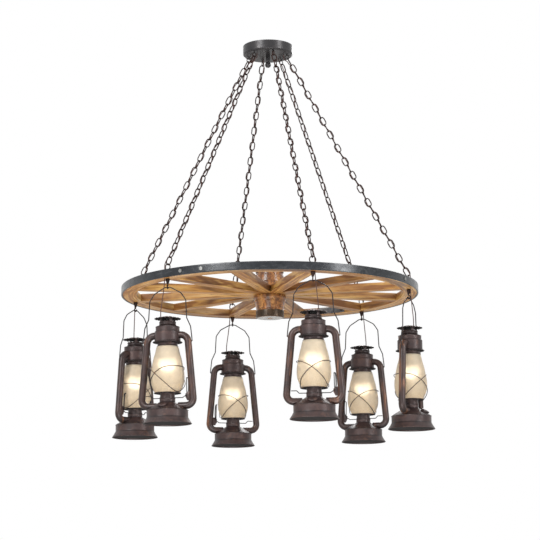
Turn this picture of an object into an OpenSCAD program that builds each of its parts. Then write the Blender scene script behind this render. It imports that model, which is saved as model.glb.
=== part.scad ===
// Wagon wheel chandelier: six chains gather at a ceiling canopy and carry a wooden wagon wheel, and
// six hurricane lanterns hang under its rim. Millimetres, +Z up. The origin is the centre of the
// canopy's mouth, flush with the ceiling. In a sector's own frame -Y points outward from the axis.

/* [Wheel] */
// Outer radius of the iron tyre
wheel_r = 533.5; // [500:0.5:600]
// Thickness of the iron tyre
tyre_t = 5; // [3:0.5:8]
// Height of the iron tyre
tyre_h = 28; // [24:1:40]
// Drop from the ceiling to the wheel's mid-plane
wheel_drop = 919; // [860:1:1000]
// Radial width of the felloes
felloe_w = 50; // [46:1:60]
// Thickness of the felloes
felloe_h = 27; // [24:1:32]
// Azimuth of the first lantern and of the spoke behind it
wheel_phase = 16.6; // [0:0.1:60]
// Azimuth of the near joint between the two felloes
joint_az = -29.9; // [-34:0.1:-24]
// Saw cut between the felloes' ends
joint_gap = 0.4; // [0.2:0.1:1]

/* [Spokes] */
// Number of spokes
spoke_count = 12; // [6:6:12]
// Width of a spoke
spoke_w = 42; // [30:1:48]
// Thickness of a spoke
spoke_h = 26; // [20:1:30]
// Gap between the mitred inner ends of two spokes
mitre_gap = 0.4; // [0.2:0.1:1]
// Radius of a spoke's tenon
tenon_r = 8; // [5:0.5:9]
// Length of a spoke's tenon
tenon_len = 15; // [8:1:17]

/* [Hub] */
// Length of the hub
hub_h = 190; // [150:1:240]
// Radius of the hub where it meets the spokes
hub_r = 56; // [53:1:64]
// Radius of the hub under its bands
hub_end_r = 48; // [44:1:52]
// Radius of the waist that the spokes stand on
hub_waist_r = 50; // [46:1:52]
// Height of the cylindrical shoulder above and below the spokes
hub_shoulder_h = 10; // [6:1:16]
// Radius of the hub's bore
hub_bore_r = 9; // [6:0.5:14]
// Height of a hub band
band_h = 25; // [15:1:35]
// Thickness of a hub band
band_t = 2.5; // [1.5:0.5:4]
// Set-back of a hub band from the hub's end
band_inset = 1; // [0:0.5:5]

/* [Rim irons] */
// Length of a splice plate along the rim
plate_len = 108; // [90:1:120]
// Height of a splice plate
plate_h = 24; // [18:1:24]
// Thickness of a splice plate
plate_t = 3; // [2:0.5:5]
// Angle from a felloe joint to each of its bolts
splice_bolt_angle = 4.4; // [3:0.1:5]
// Azimuth of the lone tyre bolt
tyre_bolt_az = 61.6; // [55:0.1:68]
// Radius of the bolts
bolt_r = 2.9; // [2:0.1:3.5]
// Radius of the bolts' heads and nuts
bolt_head_r = 6.5; // [5:0.5:8]
// Height of a bolt's head
bolt_head_h = 2.5; // [1.5:0.5:4]
// Height of the hexagonal nuts
nut_h = 4.5; // [3:0.5:6]

/* [Canopy] */
// Radius of the canopy
canopy_r = 91.5; // [88:0.5:100]
// Height of the canopy
canopy_h = 35.2; // [30:0.1:42]
// Thickness of the canopy's sheet
canopy_t = 1.5; // [1:0.1:2]
// Radius of the canopy's rounded edge
canopy_edge = 7; // [4:0.5:9]
// Radius of the ring of hang loops
loop_circle_r = 72; // [68:0.5:74]
// Depth of a hang loop's centre under the canopy
loop_drop = 10.8; // [10.5:0.1:13]
// Radius of a hang loop's wire circle
loop_r = 8; // [7:0.5:9]
// Radius of a hang loop's wire
loop_wire_r = 1.5; // [1.2:0.1:1.8]
// Radius of a hang loop's threaded stem
loop_stem_r = 2; // [1.6:0.1:2.5]
// Radius where the lamp cords leave the canopy
cord_exit_r = 58; // [56:0.5:58]
// Length of the crossbar on the ceiling box
crossbar_len = 118; // [104:1:140]
// Width of the crossbar
crossbar_w = 22; // [16:1:28]
// Thickness of the crossbar
crossbar_t = 3; // [2:0.5:4]
// Spacing of the two ceiling box screws
box_spacing = 88.9; // [80:0.1:92]
// Radius of the ceiling box screw holes
box_hole_r = 2.4; // [2:0.1:3]
// Radius of the canopy's stem
stem_r = 5; // [4:0.5:6]
// Height of the collar under the canopy
collar_h = 14; // [8:1:18]
// Radius of the collar under the canopy
collar_r = 8; // [7:0.5:12]
// Radius of the ball finial
ball_r = 11; // [9:0.5:14]
// Height of the finial's neck
finial_neck_h = 9; // [6:1:14]

/* [Chains] */
// Wire diameter of the chains
chain_d = 3.5; // [3:0.1:3.8]
// Outer width of a chain link
chain_w = 21; // [20:0.5:22]
// Number of links in a chain, an even number
link_count = 32; // [30:2:34]
// Diameter of the lamp cords
cord_d = 3.2; // [2.8:0.1:3.4]
// Radius of the cord's winding through a chain
winding_r = 5.05; // [5:0.05:5.2]

/* [Rim eyes and hooks] */
// Radius of the eye's wire circle
eye_r = 11.25; // [10.5:0.25:12]
// Radius of the eye's wire
eye_wire_r = 1.75; // [1.5:0.05:1.9]
// Radius of the eye's shank through the felloe
shank_r = 3; // [2.5:0.1:3.5]
// Outward shift of the shank from the felloe's middle
shank_shift = 2; // [0:0.5:3]
// Radius of the collar under the felloe
hook_collar_r = 7.5; // [5:0.5:7.5]
// Height of the collar's cylindrical part
hook_collar_h = 4; // [3:0.5:6]
// Height of the collar's taper
hook_taper_h = 13.5; // [8:0.5:16]
// Radius of the hook's stem
hook_stem_r = 2.2; // [2:0.1:2.6]
// Length of the hook's stem
hook_stem_len = 5.5; // [4:0.5:12]
// Radius of the hook's wire circle
hook_r = 5.5; // [5:0.25:7]
// Radius of the hook's wire
hook_wire_r = 2; // [1.6:0.1:2.2]

/* [Drop cords] */
// Distance from an eye's shank to the cord's hole beside it
hole_offset = 10.5; // [9.8:0.1:12]
// Outward reach of the one cord that bows away from its chain
bowed_offset = 16; // [15:0.5:17]
// Distance from a lantern's axis to the cord's hole in its cap
cap_hole_offset = 24; // [22:0.5:24]

/* [Lantern hood] */
// Radius of the cap disc
cap_r = 45; // [42:0.5:52]
// Rise of the cap's middle
cap_rise = 8; // [4:0.5:12]
// Thickness of the lantern's sheet metal
sheet_t = 1; // [0.8:0.1:1.2]
// Gap from the cap disc down to the neck
cap_gap = 11; // [8:0.5:14]
// Radius of the neck
neck_r = 28; // [27.6:0.1:32]
// Height of the neck
neck_h = 16; // [12:0.5:20]
// Radius of the upper drum
drum_r = 40.5; // [36:0.5:42]
// Height of the upper drum
drum_h = 17.5; // [12:0.5:24]
// Radius of the chamber that the air tubes enter
chamber_r = 44; // [42.5:0.5:46]
// Height of the chamber
chamber_h = 36.1; // [32:0.1:42]
// Radius of the hood's flange
flange_r = 50.5; // [48:0.5:54]
// Thickness of the hood's flange
flange_t = 2; // [1:0.5:3]

/* [Air tubes] */
// Outer diameter of the air tubes
tube_d = 24; // [20:0.5:24.5]
// Distance from the axis to a tube's upper corner
tube_top_x = 71.4; // [70.5:0.1:74]
// Distance from the axis to a tube's lower corner
tube_low_x = 94.3; // [93:0.1:98]
// Depth of a tube's upper end below the chamber's roof
tube_top_drop = 12.5; // [12.5:0.1:16]
// Depth of a tube's lower end below the fount's top
tube_low_drop = 13.8; // [13:0.1:14]
// Bend radius of a tube's upper corner
tube_top_bend = 27; // [20:1:28]
// Bend radius of a tube's lower corner
tube_low_bend = 24; // [18:1:26]

/* [Bail] */
// Height of the bail's top above the cap
bail_h = 108; // [104:1:120]
// Radius of the bail's wire
bail_wire_r = 1.5; // [1.2:0.1:1.7]
// Distance from the axis to the bail's foot
bail_foot_x = 88.5; // [88:0.1:90]
// Depth of the bail's pins below the cap
bail_pin_drop = 80; // [76:0.5:84]
// Radius of the ears that carry the bail
ear_r = 4; // [3:0.5:5]
// Radial clearance of the hinge pins
pin_fit = 0.08; // [0.05:0.01:0.1]

/* [Globe] */
// Height of the globe between the flange and its plate
globe_h = 170.2; // [165:0.1:178]
// Radius of the globe's neck
globe_neck_r = 32.6; // [32:0.1:33]
// Largest radius of the globe
globe_r = 57.3; // [55:0.1:58]
// Radius of the globe's foot
globe_foot_r = 43; // [40:0.1:44]
// Thickness of the glass
glass_t = 2.2; // [1.8:0.1:3]
// Height of the collar on the globe's neck
neck_collar_h = 8.5; // [7:0.1:9]
// Thickness of the collar on the globe's neck
neck_collar_t = 1.1; // [0.8:0.1:1.4]
// Play around the globe's neck and collar
neck_fit = 0.3; // [0.3:0.05:0.4]
// Radius of the plate that the globe stands on
plate_r = 46; // [45.5:0.5:48]
// Radius of the air hole in that plate
plate_hole_r = 18; // [12:0.5:22]
// Radius of the skirt under the plate
skirt_r = 24.8; // [23:0.1:25]
// Height of the skirt under the plate
skirt_h = 15; // [14.8:0.1:15.2]
// Radius of the guard's wire
guard_wire_r = 1.25; // [1:0.05:1.3]
// Gap from the glass to the guard
guard_gap = 0.9; // [0.8:0.1:1.1]
// Depth of the guard's upper ends below the globe's top
guard_top_drop = 83.2; // [78:0.1:90]

/* [Burner and fount] */
// Height from the fount's top to the globe's plate
burner_h = 31; // [30.5:0.1:32]
// Radius of the burner cup
cup_r = 26.5; // [26:0.1:28]
// Height of the burner cup
cup_h = 16; // [15:0.1:18]
// Radius of the fount's shoulder
shoulder_r = 66.7; // [65:0.1:68]
// Height of the fount's shoulder
shoulder_h = 25; // [24:0.5:27]
// Radius of the fount's side
fount_r = 69.8; // [69:0.1:74]
// Height of the fount's side
fount_h = 26; // [22:0.5:34]
// Radius of the bead round the fount
bead_r = 1.2; // [0.8:0.1:1.4]
// Radius of the base's rolled lip
base_r = 82.4; // [79:0.1:88]
// Height of the base's flare
base_h = 21.3; // [18:0.1:28]
// Radius of the roll on the base's lip
lip_r = 1.7; // [1.2:0.1:2.2]
// Depth of the recess under the base
base_recess = 4; // [3:0.5:8]
// Radius of the filler cap
filler_r = 16; // [14:0.5:18]
// Height of the filler cap
filler_h = 7; // [5:0.5:9]

/* [Globe lift] */
// Radius of the lift lever's wire
lever_wire_r = 1.25; // [1:0.05:1.3]
// Distance from the axis to the lever's pivot
lever_x = 67.5; // [67.3:0.1:68.5]
// Depth of the lever's pivot below the globe's plate
lever_drop = 9; // [8:0.5:10]
// Height of the lever's handle above its pivot
handle_h = 59; // [50:1:62]
// Reach of the lever's arm past the axis
arm_reach = 50; // [44:1:54]
// Side shift of the handle from the arm
handle_y = 5; // [4.8:0.1:6]
// Radius of the lever's bracket
bracket_r = 3.4; // [3:0.1:4]

/* [Lamp] */
// Width of the strap that holds the socket
strap_w = 12; // [8:1:16]
// Thickness of the strap
strap_t = 1.5; // [1:0.1:2]
// Radius of the lamp socket
socket_r = 14.5; // [12:0.5:16]
// Height of the lamp socket
socket_h = 48.5; // [40:0.5:52]
// Radius of the bulb's neck
bulb_neck_r = 13; // [11:0.5:13.5]
// Radius of the bulb
bulb_r = 30; // [22:0.5:32]
// Depth of the bulb's centre below its socket
bulb_drop = 54; // [40:1:58]

/* [Hidden] */
lantern_count = 6;
// Direction of each lantern's lever tube, anticlockwise from +X, one for each lantern
lantern_yaw = [-7, 65.6, 155, 195, 234, -17];
// Turn of each globe's guard about its axis
guard_turn = [-2, -33, 7, 5, 0, -27];
// Direction from each eye's shank to its drop cord
drop_yaw = [42, -57, 48, 170, 107, 196];
// The lantern whose lamp cord bows outward from its chain
bowed_lantern = 5;

contact = 0.05;
face_gap = 0.3;
weld_gap = 0.1;
weld_grow = 1.03;
guard_rings = 24;
guard_power = 1.858;
rod_sides = 24;

wheel_z = -wheel_drop;
felloe_out = wheel_r - tyre_t - contact;
felloe_in = felloe_out - felloe_w;
spoke_out = felloe_in - contact;
shank_ring = felloe_out - felloe_w / 2 + shank_shift;
hub_slot = spoke_h / 2 + 0.2;
splice_angle = plate_len / felloe_in * 180 / PI;

box_floor = -canopy_h;
loop_z = box_floor - loop_drop;
stem_len = canopy_h + collar_h + finial_neck_h + ball_r * 0.7;
eye_z = felloe_h / 2 + face_gap + eye_wire_r + eye_r;
collar_low = -felloe_h / 2 - hook_collar_h - hook_taper_h;
hook_z = collar_low - hook_stem_len - hook_r;
bail_top_z = hook_z - hook_r + hook_wire_r + bail_wire_r + pin_fit;
lantern_z = bail_top_z - bail_h;

// The chain line runs from a hang loop's centre to the top of an eye, in its sector's plane.
chain_start = [0, -loop_circle_r, loop_z];
chain_end = [0, -shank_ring, wheel_z + eye_z + eye_r];
chain_lean = atan2(chain_start.y - chain_end.y, chain_start.z - chain_end.z);
link_top = loop_r - loop_wire_r - chain_d / 2 - contact;
link_bottom = norm(chain_end - chain_start) + eye_wire_r + chain_d / 2 + contact;
link_play = 0.1;
link_pitch = (link_bottom - link_top - chain_d - link_play) / link_count;
link_len = link_pitch + chain_d + link_play;

neck_z = -cap_gap;
drum_z = neck_z - neck_h;
chamber_z = drum_z - drum_h;
flange_z = chamber_z - chamber_h;
globe_z = flange_z - flange_t - 0.2;
plate_z = globe_z - globe_h;
fount_z = plate_z - burner_h;
shoulder_z = fount_z - shoulder_h;
side_z = shoulder_z - fount_h;
base_z = side_z - base_h;
neck_collar_r = globe_neck_r + neck_fit + neck_collar_t;
cup_rim_z = fount_z + cup_h;
tube_top_z = chamber_z - tube_top_drop;
tube_low_z = fount_z - tube_low_drop;
strap_z = chamber_z - sheet_t - 0.5;
socket_z = strap_z - strap_t;
lever_z = plate_z - lever_drop;
skirt_low = plate_z - sheet_t - skirt_h;
arm_z = skirt_low - lever_wire_r - 0.15;
guard_top_z = globe_z - guard_top_drop;
guard_low_z = plate_z + guard_wire_r + contact;

// Shape of the globe: share of its height from the top, and share of the way from the end's radius
// to the largest radius.
globe_upper = [[0.01, 0], [(neck_collar_h + 0.6) / globe_h, 0], [0.08, 0.14], [0.125, 0.26], [0.207, 0.38], [0.318, 0.6],
    [0.483, 0.83], [0.6, 0.97], [0.675, 1]];
globe_lower = [[0.75, 0.98], [0.8355, 0.8], [0.93, 0.35], [0.998, 0]];
globe_control = concat(
    [for (p = globe_upper) [globe_neck_r + (globe_r - globe_neck_r) * p[1], globe_z - globe_h * p[0]]],
    [for (p = globe_lower) [globe_foot_r + (globe_r - globe_foot_r) * p[1], globe_z - globe_h * p[0]]]);
globe_side = smooth(globe_control, 2);
globe_lookup = [for (p = globe_side) [p.y, p.x]];

function unit(v) = v / norm(v);
function reverse(list) = [for (i = [len(list) - 1:-1:0]) list[i]];
function sector_az(i) = wheel_phase + (i - 1) * 360 / lantern_count;
function polar(radius, angle) = radius * [cos(angle), sin(angle)];

// Catmull-Rom curve through the points, with equal steps between each two of them
function curve_point(p, i, t) = let (
    last = len(p) - 1,
    a = p[max(i - 1, 0)],
    b = p[i],
    c = p[min(i + 1, last)],
    d = p[min(i + 2, last)])
    0.5 * (2 * b + (c - a) * t + (2 * a - 5 * b + 4 * c - d) * t * t
        + (3 * b - a - 3 * c + d) * t * t * t);
function smooth(p, steps) = [
    for (i = [0:len(p) - 2]) for (k = [0:steps - 1]) curve_point(p, i, k / steps),
    p[len(p) - 1]];

// Outline moved to its left by a distance, with mitred corners
function left_of(d) = [-d.y, d.x];
function moved_left(path, distance) = [for (i = [0:len(path) - 1]) let (
    a = left_of(unit(path[max(i, 1)] - path[max(i, 1) - 1])),
    j = min(i + 1, len(path) - 1),
    b = left_of(unit(path[j] - path[j - 1])))
    path[i] + (a + b) / (1 + a * b) * distance];
module sheet_turned(path, thickness) {
    rotate_extrude($fn = 96) polygon(concat(path, reverse(moved_left(path, thickness))));
}

module ring(outer, inner, height) {
    difference() {
        cylinder(r = outer, h = height, center = true, $fn = 180);
        cylinder(r = inner, h = height + 1, center = true, $fn = 180);
    }
}

module torus(circle_r, wire_r, sweep = 360) {
    rotate_extrude(angle = sweep, $fn = 48) translate([circle_r, 0]) circle(r = wire_r, $fn = rod_sides);
}

module rod(a, b, radius) {
    d = b - a;
    translate(a) rotate([0, acos(d.z / norm(d)), atan2(d.y, d.x)])
        cylinder(r = radius, h = norm(d), $fn = rod_sides);
}

// How far a bend of this radius reaches along both legs from the corner p
function bend_reach(a, p, b, bend) =
    bend / tan(acos(unit(a - p) * unit(b - p)) / 2);

module bend_arc(a, p, b, bend, radius) {
    u = unit(a - p);
    v = unit(b - p);
    half = acos(u * v) / 2;
    middle = p + unit(u + v) * bend / sin(half);
    ex = unit(p + u * bend / tan(half) - middle);
    ez = unit(cross(v, u));
    ey = cross(ez, ex);
    seam = weld_gap * 180 / PI / bend;
    multmatrix([[ex.x, ey.x, ez.x, middle.x], [ex.y, ey.y, ez.y, middle.y],
        [ex.z, ey.z, ez.z, middle.z], [0, 0, 0, 1]])
        rotate([0, 0, seam]) torus(bend, radius, 180 - 2 * half - 2 * seam);
}

// Round rod along a path of corners; each corner between the ends has its bend radius, and a bend of
// 0 is a ball corner. A ball a little thicker than the rod welds each bend to its straights.
module bent_rod(path, bends, radius) {
    last = len(path) - 1;
    cut = [for (i = [0:last]) i == 0 || i == last || bends[i - 1] == 0 ? 0
        : bend_reach(path[i - 1], path[i], path[i + 1], bends[i - 1])];
    for (i = [0:last - 1]) {
        d = unit(path[i + 1] - path[i]);
        rod(path[i] + d * (cut[i] + (i > 0 ? weld_gap : 0)),
            path[i + 1] - d * (cut[i + 1] + (i + 1 < last ? weld_gap : 0)), radius);
    }
    for (i = [1:last - 1]) {
        if (cut[i] > 0) bend_arc(path[i - 1], path[i], path[i + 1], bends[i - 1], radius);
        for (leg = cut[i] > 0 ? [i - 1, i + 1] : [i])
            translate(path[i] + (leg == i ? [0, 0, 0] : unit(path[leg] - path[i]) * cut[i]))
                sphere(r = radius * weld_grow, $fn = rod_sides);
    }
}

// Many-sided tube along a list of points; side is a direction that the tube never follows.
function tube_ring(middle, along, side, radius, sides) = let (
    u = unit(cross(side, along)),
    v = cross(along, u))
    [for (k = [0:sides - 1]) middle + radius * (cos(360 * k / sides) * u + sin(360 * k / sides) * v)];
module swept_tube(points, radius, sides, side, closed = false) {
    count = len(points);
    spans = closed ? count : count - 1;
    along = [for (i = [0:count - 1]) closed
        ? unit(points[(i + 1) % count] - points[(i + count - 1) % count])
        : unit(points[min(i + 1, count - 1)] - points[max(i - 1, 0)])];
    corners = [for (i = [0:count - 1]) each tube_ring(points[i], along[i], side, radius, sides)];
    walls = [for (i = [0:spans - 1]) for (k = [0:sides - 1]) let (
        a = i * sides + k,
        b = i * sides + (k + 1) % sides,
        c = (i + 1) % count * sides + (k + 1) % sides,
        d = (i + 1) % count * sides + k) each [[a, d, b], [b, d, c]]];
    ends = closed ? [] : [[for (k = [0:sides - 1]) k],
        [for (k = [sides - 1:-1:0]) (count - 1) * sides + k]];
    polyhedron(points = corners, faces = concat(walls, ends));
}

module at_sector(i) {
    rotate([0, 0, sector_az(i)]) children();
}

module at_shank(i) {
    at_sector(i) translate([0, -shank_ring, wheel_z]) children();
}

module at_lantern(i) {
    at_sector(i) translate([0, -shank_ring, wheel_z + lantern_z])
        rotate([0, 0, lantern_yaw[i - 1] - sector_az(i)]) children();
}

// Frame whose +Z points inward through the tyre, with its origin on the tyre's outer face
module through_tyre(az) {
    rotate([0, 0, az]) translate([0, -wheel_r, wheel_z]) rotate([-90, 0, 0]) children();
}

// ---- canopy ----

// Canopy pan, open to the ceiling
module canopy() {
    rim = [canopy_r, 0];
    edge = [for (a = [0:15:90]) [canopy_r - canopy_edge, box_floor + canopy_edge]
        + canopy_edge * [cos(a), -sin(a)]];
    skin = reverse(concat([rim], edge, [[stem_r + contact, box_floor]]));
    color("#4a3c3b") difference() {
        sheet_turned(reverse(skin), -canopy_t);
        for (i = [1:lantern_count]) at_sector(i) {
            translate([0, -loop_circle_r, box_floor - 1])
                cylinder(r = loop_stem_r + contact, h = canopy_t + 2, $fn = 32);
            translate([0, -cord_exit_r, box_floor - 1])
                cylinder(r = cord_d / 2 + 0.6, h = canopy_t + 2, $fn = 32);
        }
    }
}

module crossbar() {
    difference() {
        translate([-crossbar_len / 2, -crossbar_w / 2, -crossbar_t])
            cube([crossbar_len, crossbar_w, crossbar_t]);
        for (x = [-box_spacing / 2, box_spacing / 2])
            translate([x, 0, -crossbar_t - 1]) cylinder(r = box_hole_r, h = crossbar_t + 2, $fn = 32);
        translate([0, 0, -crossbar_t - 1]) cylinder(r = stem_r + contact, h = crossbar_t + 2, $fn = 48);
    }
}

// Crossbar, stem, lock nut, collar and ball finial
module ceiling_mount() {
    finial_z = box_floor - contact - collar_h - contact;
    color("#3d3433") {
        crossbar();
        translate([0, 0, -stem_len]) cylinder(r = stem_r, h = stem_len - 0.5, $fn = 48);
        translate([0, 0, -crossbar_t - contact - nut_h]) difference() {
            cylinder(r = collar_r + 1, h = nut_h, $fn = 6);
            translate([0, 0, -1]) cylinder(r = stem_r + contact, h = nut_h + 2, $fn = 48);
        }
        translate([0, 0, box_floor - contact - collar_h]) difference() {
            cylinder(r = collar_r, h = collar_h, $fn = 48);
            translate([0, 0, -1]) cylinder(r = stem_r + contact, h = collar_h + 2, $fn = 48);
        }
        difference() {
            union() {
                translate([0, 0, finial_z - finial_neck_h - 3])
                    cylinder(r = stem_r + 1.5, h = finial_neck_h + 3, $fn = 48);
                translate([0, 0, finial_z - finial_neck_h - ball_r]) sphere(r = ball_r, $fn = 64);
            }
            translate([0, 0, -stem_len - 0.3])
                cylinder(r = stem_r + contact, h = stem_len, $fn = 48);
        }
    }
}

// Six eyes under the canopy with their nuts inside it
module canopy_loops() {
    color("#33292a") for (i = [1:lantern_count]) at_sector(i) translate([0, -loop_circle_r, 0]) {
        translate([0, 0, loop_z]) rotate([0, 90, 0]) torus(loop_r, loop_wire_r);
        translate([0, 0, loop_z + loop_r])
            cylinder(r = loop_stem_r, h = loop_drop - loop_r + canopy_t + nut_h + 3, $fn = 32);
        translate([0, 0, box_floor + canopy_t + contact]) difference() {
            cylinder(r = loop_stem_r * 2.2, h = nut_h, $fn = 6);
            translate([0, 0, -1]) cylinder(r = loop_stem_r + contact, h = nut_h + 2, $fn = 32);
        }
    }
}

// ---- chains and cords ----

// One link, standing in the XZ plane
module chain_link() {
    bend = (chain_w - chain_d) / 2;
    half = link_len / 2 - bend;
    for (side = [-1, 1])
        translate([side * bend, 0, -half]) cylinder(d = chain_d, h = 2 * half, $fn = rod_sides);
    translate([0, 0, half]) rotate([90, 0, 0]) torus(bend, chain_d / 2, 180);
    translate([0, 0, -half]) rotate([-90, 0, 0]) torus(bend, chain_d / 2, 180);
}

function link_middle(k) = link_top + link_len / 2 + (k - 1) * link_pitch;

// Chain that hangs taut from a canopy loop to an eye, its first link across the sector's plane
module chain(i) {
    color("#2b2224") at_sector(i) translate(chain_start) rotate([-chain_lean, 0, 0])
        for (k = [1:link_count])
            translate([0, 0, -link_middle(k)]) rotate([0, 0, k % 2 == 0 ? 90 : 0]) chain_link();
}

// Point of a sector given by its distance along the chain line, outward of it and beside it
function beside_chain(along, outward, sideways) = chain_start + [sideways,
    -along * sin(chain_lean) - outward * cos(chain_lean),
    -along * cos(chain_lean) + outward * sin(chain_lean)];

// Hole beside a shank, as [outward, sideways] from it, at the felloe's top and at its bottom
function drop_angle(i) = drop_yaw[i - 1] + 90 - sector_az(i);
function hole_bottom(i) = polar(hole_offset, drop_angle(i));
function hole_top(i) = i == bowed_lantern ? [bowed_offset, 0] : hole_bottom(i);
function in_sector(p, z) = [p[1], -shank_ring - p[0], wheel_z + z];

// The cord winds a quarter turn a link, so that it passes through every link, and ends in the
// felloe's hole. It winds the way that brings it out on its hole's side.
function winding_side(i) = hole_top(i)[1] > 0 ? -1 : 1;
function winding_point(i, k) = let (turn = 180 + winding_side(i) * 90 * (k - 2))
    beside_chain(link_middle(k), winding_r * cos(turn), winding_r * sin(turn));
function winding_start(i) = let (s = winding_side(i)) [
    [0, -cord_exit_r + 10, box_floor + 17],
    [0, -cord_exit_r, box_floor + 8],
    [0, -cord_exit_r, box_floor - 5],
    [s * 3, -loop_circle_r + 9.5, loop_z - 8],
    beside_chain(link_middle(1) - 8, -7, s * 4.5),
    beside_chain(link_middle(1) + 3, -6.2, s * 4.4)];
function winding_end(i) = let (
    s = -winding_side(i),
    p = hole_top(i),
    bow = i == bowed_lantern ? 6 : 0)
    [in_sector([p[0] * 0.35 - 2.5 + bow, s * 5.2], 51 + bow),
    in_sector([p[0] * 0.95, s * max(abs(p[1]) * 0.9, 4.4)], 36),
    in_sector(p, felloe_h / 2 + 9),
    in_sector(p, felloe_h / 2 - 2)];
function lamp_cord_route(i) = concat(
    smooth(concat(winding_start(i), [winding_point(i, 1.5)]), 2),
    [for (n = [4:2 * link_count - 2]) winding_point(i, n / 2)],
    smooth(concat([winding_point(i, link_count - 0.6)], winding_end(i)), 2),
    [in_sector(hole_bottom(i), -felloe_h / 2 + 3)]);

module lamp_cords() {
    color("#2a2224") for (i = [1:lantern_count])
        at_sector(i) swept_tube(lamp_cord_route(i), cord_d / 2, 6, [1, 0, 0]);
}

// The cord goes on below the felloe, passes the lantern's cap and ends on its socket.
function drop_route(i) = let (
    start = [[hole_offset, -felloe_h / 2 + 2.9], [hole_offset + 0.5, -felloe_h / 2 - 12]],
    cap_z = lantern_z,
    free = [[hole_offset + 3, collar_low - 18], [hole_offset + 8, lantern_z + 65],
        [cap_hole_offset - 1.5, lantern_z + 38], [cap_hole_offset, lantern_z + 22]],
    inside = [[cap_hole_offset, cap_z + 6], [cap_hole_offset, cap_z - 10],
        [cap_hole_offset * 0.83, cap_z - 24], [cap_hole_offset * 0.4, cap_z + chamber_z + 9],
        [cap_hole_offset * 0.08, cap_z + chamber_z + 4.5], [0, cap_z + strap_z + 0.1]])
    [for (p = smooth(concat(start, free, inside), 2)) [p[0], 0, p[1]]];

module drop_cords() {
    color("#2a2224") for (i = [1:lantern_count]) at_shank(i)
        rotate([0, 0, drop_yaw[i - 1] - sector_az(i)])
            swept_tube(drop_route(i), cord_d / 2, 8, [0, 1, 0]);
}

// ---- wheel ----

joint_bolts = [for (az = [joint_az, joint_az + 180]) for (s = [-1, 1]) az + s * splice_bolt_angle];
lone_bolts = [tyre_bolt_az, tyre_bolt_az + 180];

module bolt_holes() {
    for (az = concat(joint_bolts, lone_bolts))
        through_tyre(az) translate([0, 0, -10])
            cylinder(r = bolt_r + contact, h = tyre_t + felloe_w + plate_t + 20, $fn = 32);
}

module tyre() {
    color("#20252d") difference() {
        translate([0, 0, wheel_z]) ring(wheel_r, wheel_r - tyre_t, tyre_h);
        bolt_holes();
    }
}

module joint_bolt(az) {
    grip = tyre_t + felloe_w + plate_t + 4 * contact;
    through_tyre(az) {
        translate([0, 0, -bolt_head_h]) cylinder(r = bolt_head_r, h = bolt_head_h, $fn = 32);
        translate([0, 0, -1]) cylinder(r = bolt_r, h = grip + nut_h + 2, $fn = 32);
    }
    through_tyre(az) translate([0, 0, grip]) difference() {
        cylinder(r = bolt_head_r, h = nut_h, $fn = 6);
        translate([0, 0, -1]) cylinder(r = bolt_r + contact, h = nut_h + 2, $fn = 32);
    }
}

// Plates inside the felloe joints, their bolts, and the tyre's lone bolts
module splice_hardware() {
    color("#4b4a48") difference() {
        for (az = [joint_az, joint_az + 180]) rotate([0, 0, az - 90 - splice_angle / 2])
            translate([0, 0, wheel_z]) rotate_extrude(angle = splice_angle, $fn = 180)
                translate([felloe_in - contact - plate_t, -plate_h / 2]) square([plate_t, plate_h]);
        bolt_holes();
    }
    color("#b9b9b4") {
        for (az = joint_bolts) joint_bolt(az);
        for (az = lone_bolts) through_tyre(az) {
            translate([0, 0, -bolt_head_h]) cylinder(r = bolt_head_r, h = bolt_head_h, $fn = 32);
            translate([0, 0, -1]) cylinder(r = bolt_r, h = tyre_t + felloe_w / 2, $fn = 32);
        }
    }
}

function spoke_az(k) = wheel_phase + k * 360 / spoke_count;

// Two bent halves of the rim
module felloes() {
    color("#d3a45c") difference() {
        translate([0, 0, wheel_z]) ring(felloe_out, felloe_in, felloe_h);
        for (az = [joint_az, joint_az + 180]) rotate([0, 0, az])
            translate([-joint_gap / 2, -felloe_out - 1, wheel_z - felloe_h / 2 - 1])
                cube([joint_gap, felloe_w + 2, felloe_h + 2]);
        for (k = [0:spoke_count - 1]) rotate([0, 0, spoke_az(k)])
            translate([0, -spoke_out - tenon_len - 0.5, wheel_z]) rotate([-90, 0, 0])
                cylinder(r = tenon_r + contact, h = tenon_len + 5, $fn = 48);
        for (i = [1:lantern_count]) {
            at_shank(i) translate([0, 0, -felloe_h]) cylinder(r = shank_r + 0.2, h = 2 * felloe_h, $fn = 32);
            at_sector(i) {
                low = in_sector(hole_bottom(i), -felloe_h / 2);
                high = in_sector(hole_top(i), felloe_h / 2);
                d = unit(high - low) * 3;
                rod(low - d, high + d, cord_d / 2 + 1);
            }
        }
        bolt_holes();
    }
}

// Flat board that narrows to a mitre at the hub, with a tenon into the felloe
module spoke() {
    half_angle = 180 / spoke_count;
    apex = mitre_gap / 2 / sin(half_angle);
    reach = spoke_out + 10;
    intersection() {
        translate([-spoke_w / 2, -reach, -spoke_h / 2]) cube([spoke_w, reach, spoke_h]);
        difference() {
            cylinder(r = spoke_out, h = spoke_h + 2, center = true, $fn = 180);
            cylinder(r = hub_waist_r + face_gap, h = spoke_h + 4, center = true, $fn = 96);
        }
        translate([0, -apex, -spoke_h]) linear_extrude(2 * spoke_h)
            polygon([[0, 0], [-reach * tan(half_angle), -reach], [reach * tan(half_angle), -reach]]);
    }
    translate([0, -spoke_out - tenon_len, 0]) rotate([-90, 0, 0])
        cylinder(r = tenon_r, h = tenon_len + 6, $fn = 48);
}

module spokes() {
    color("#c08a4a") for (k = [0:spoke_count - 1])
        rotate([0, 0, spoke_az(k)]) translate([0, 0, wheel_z]) spoke();
}

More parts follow.
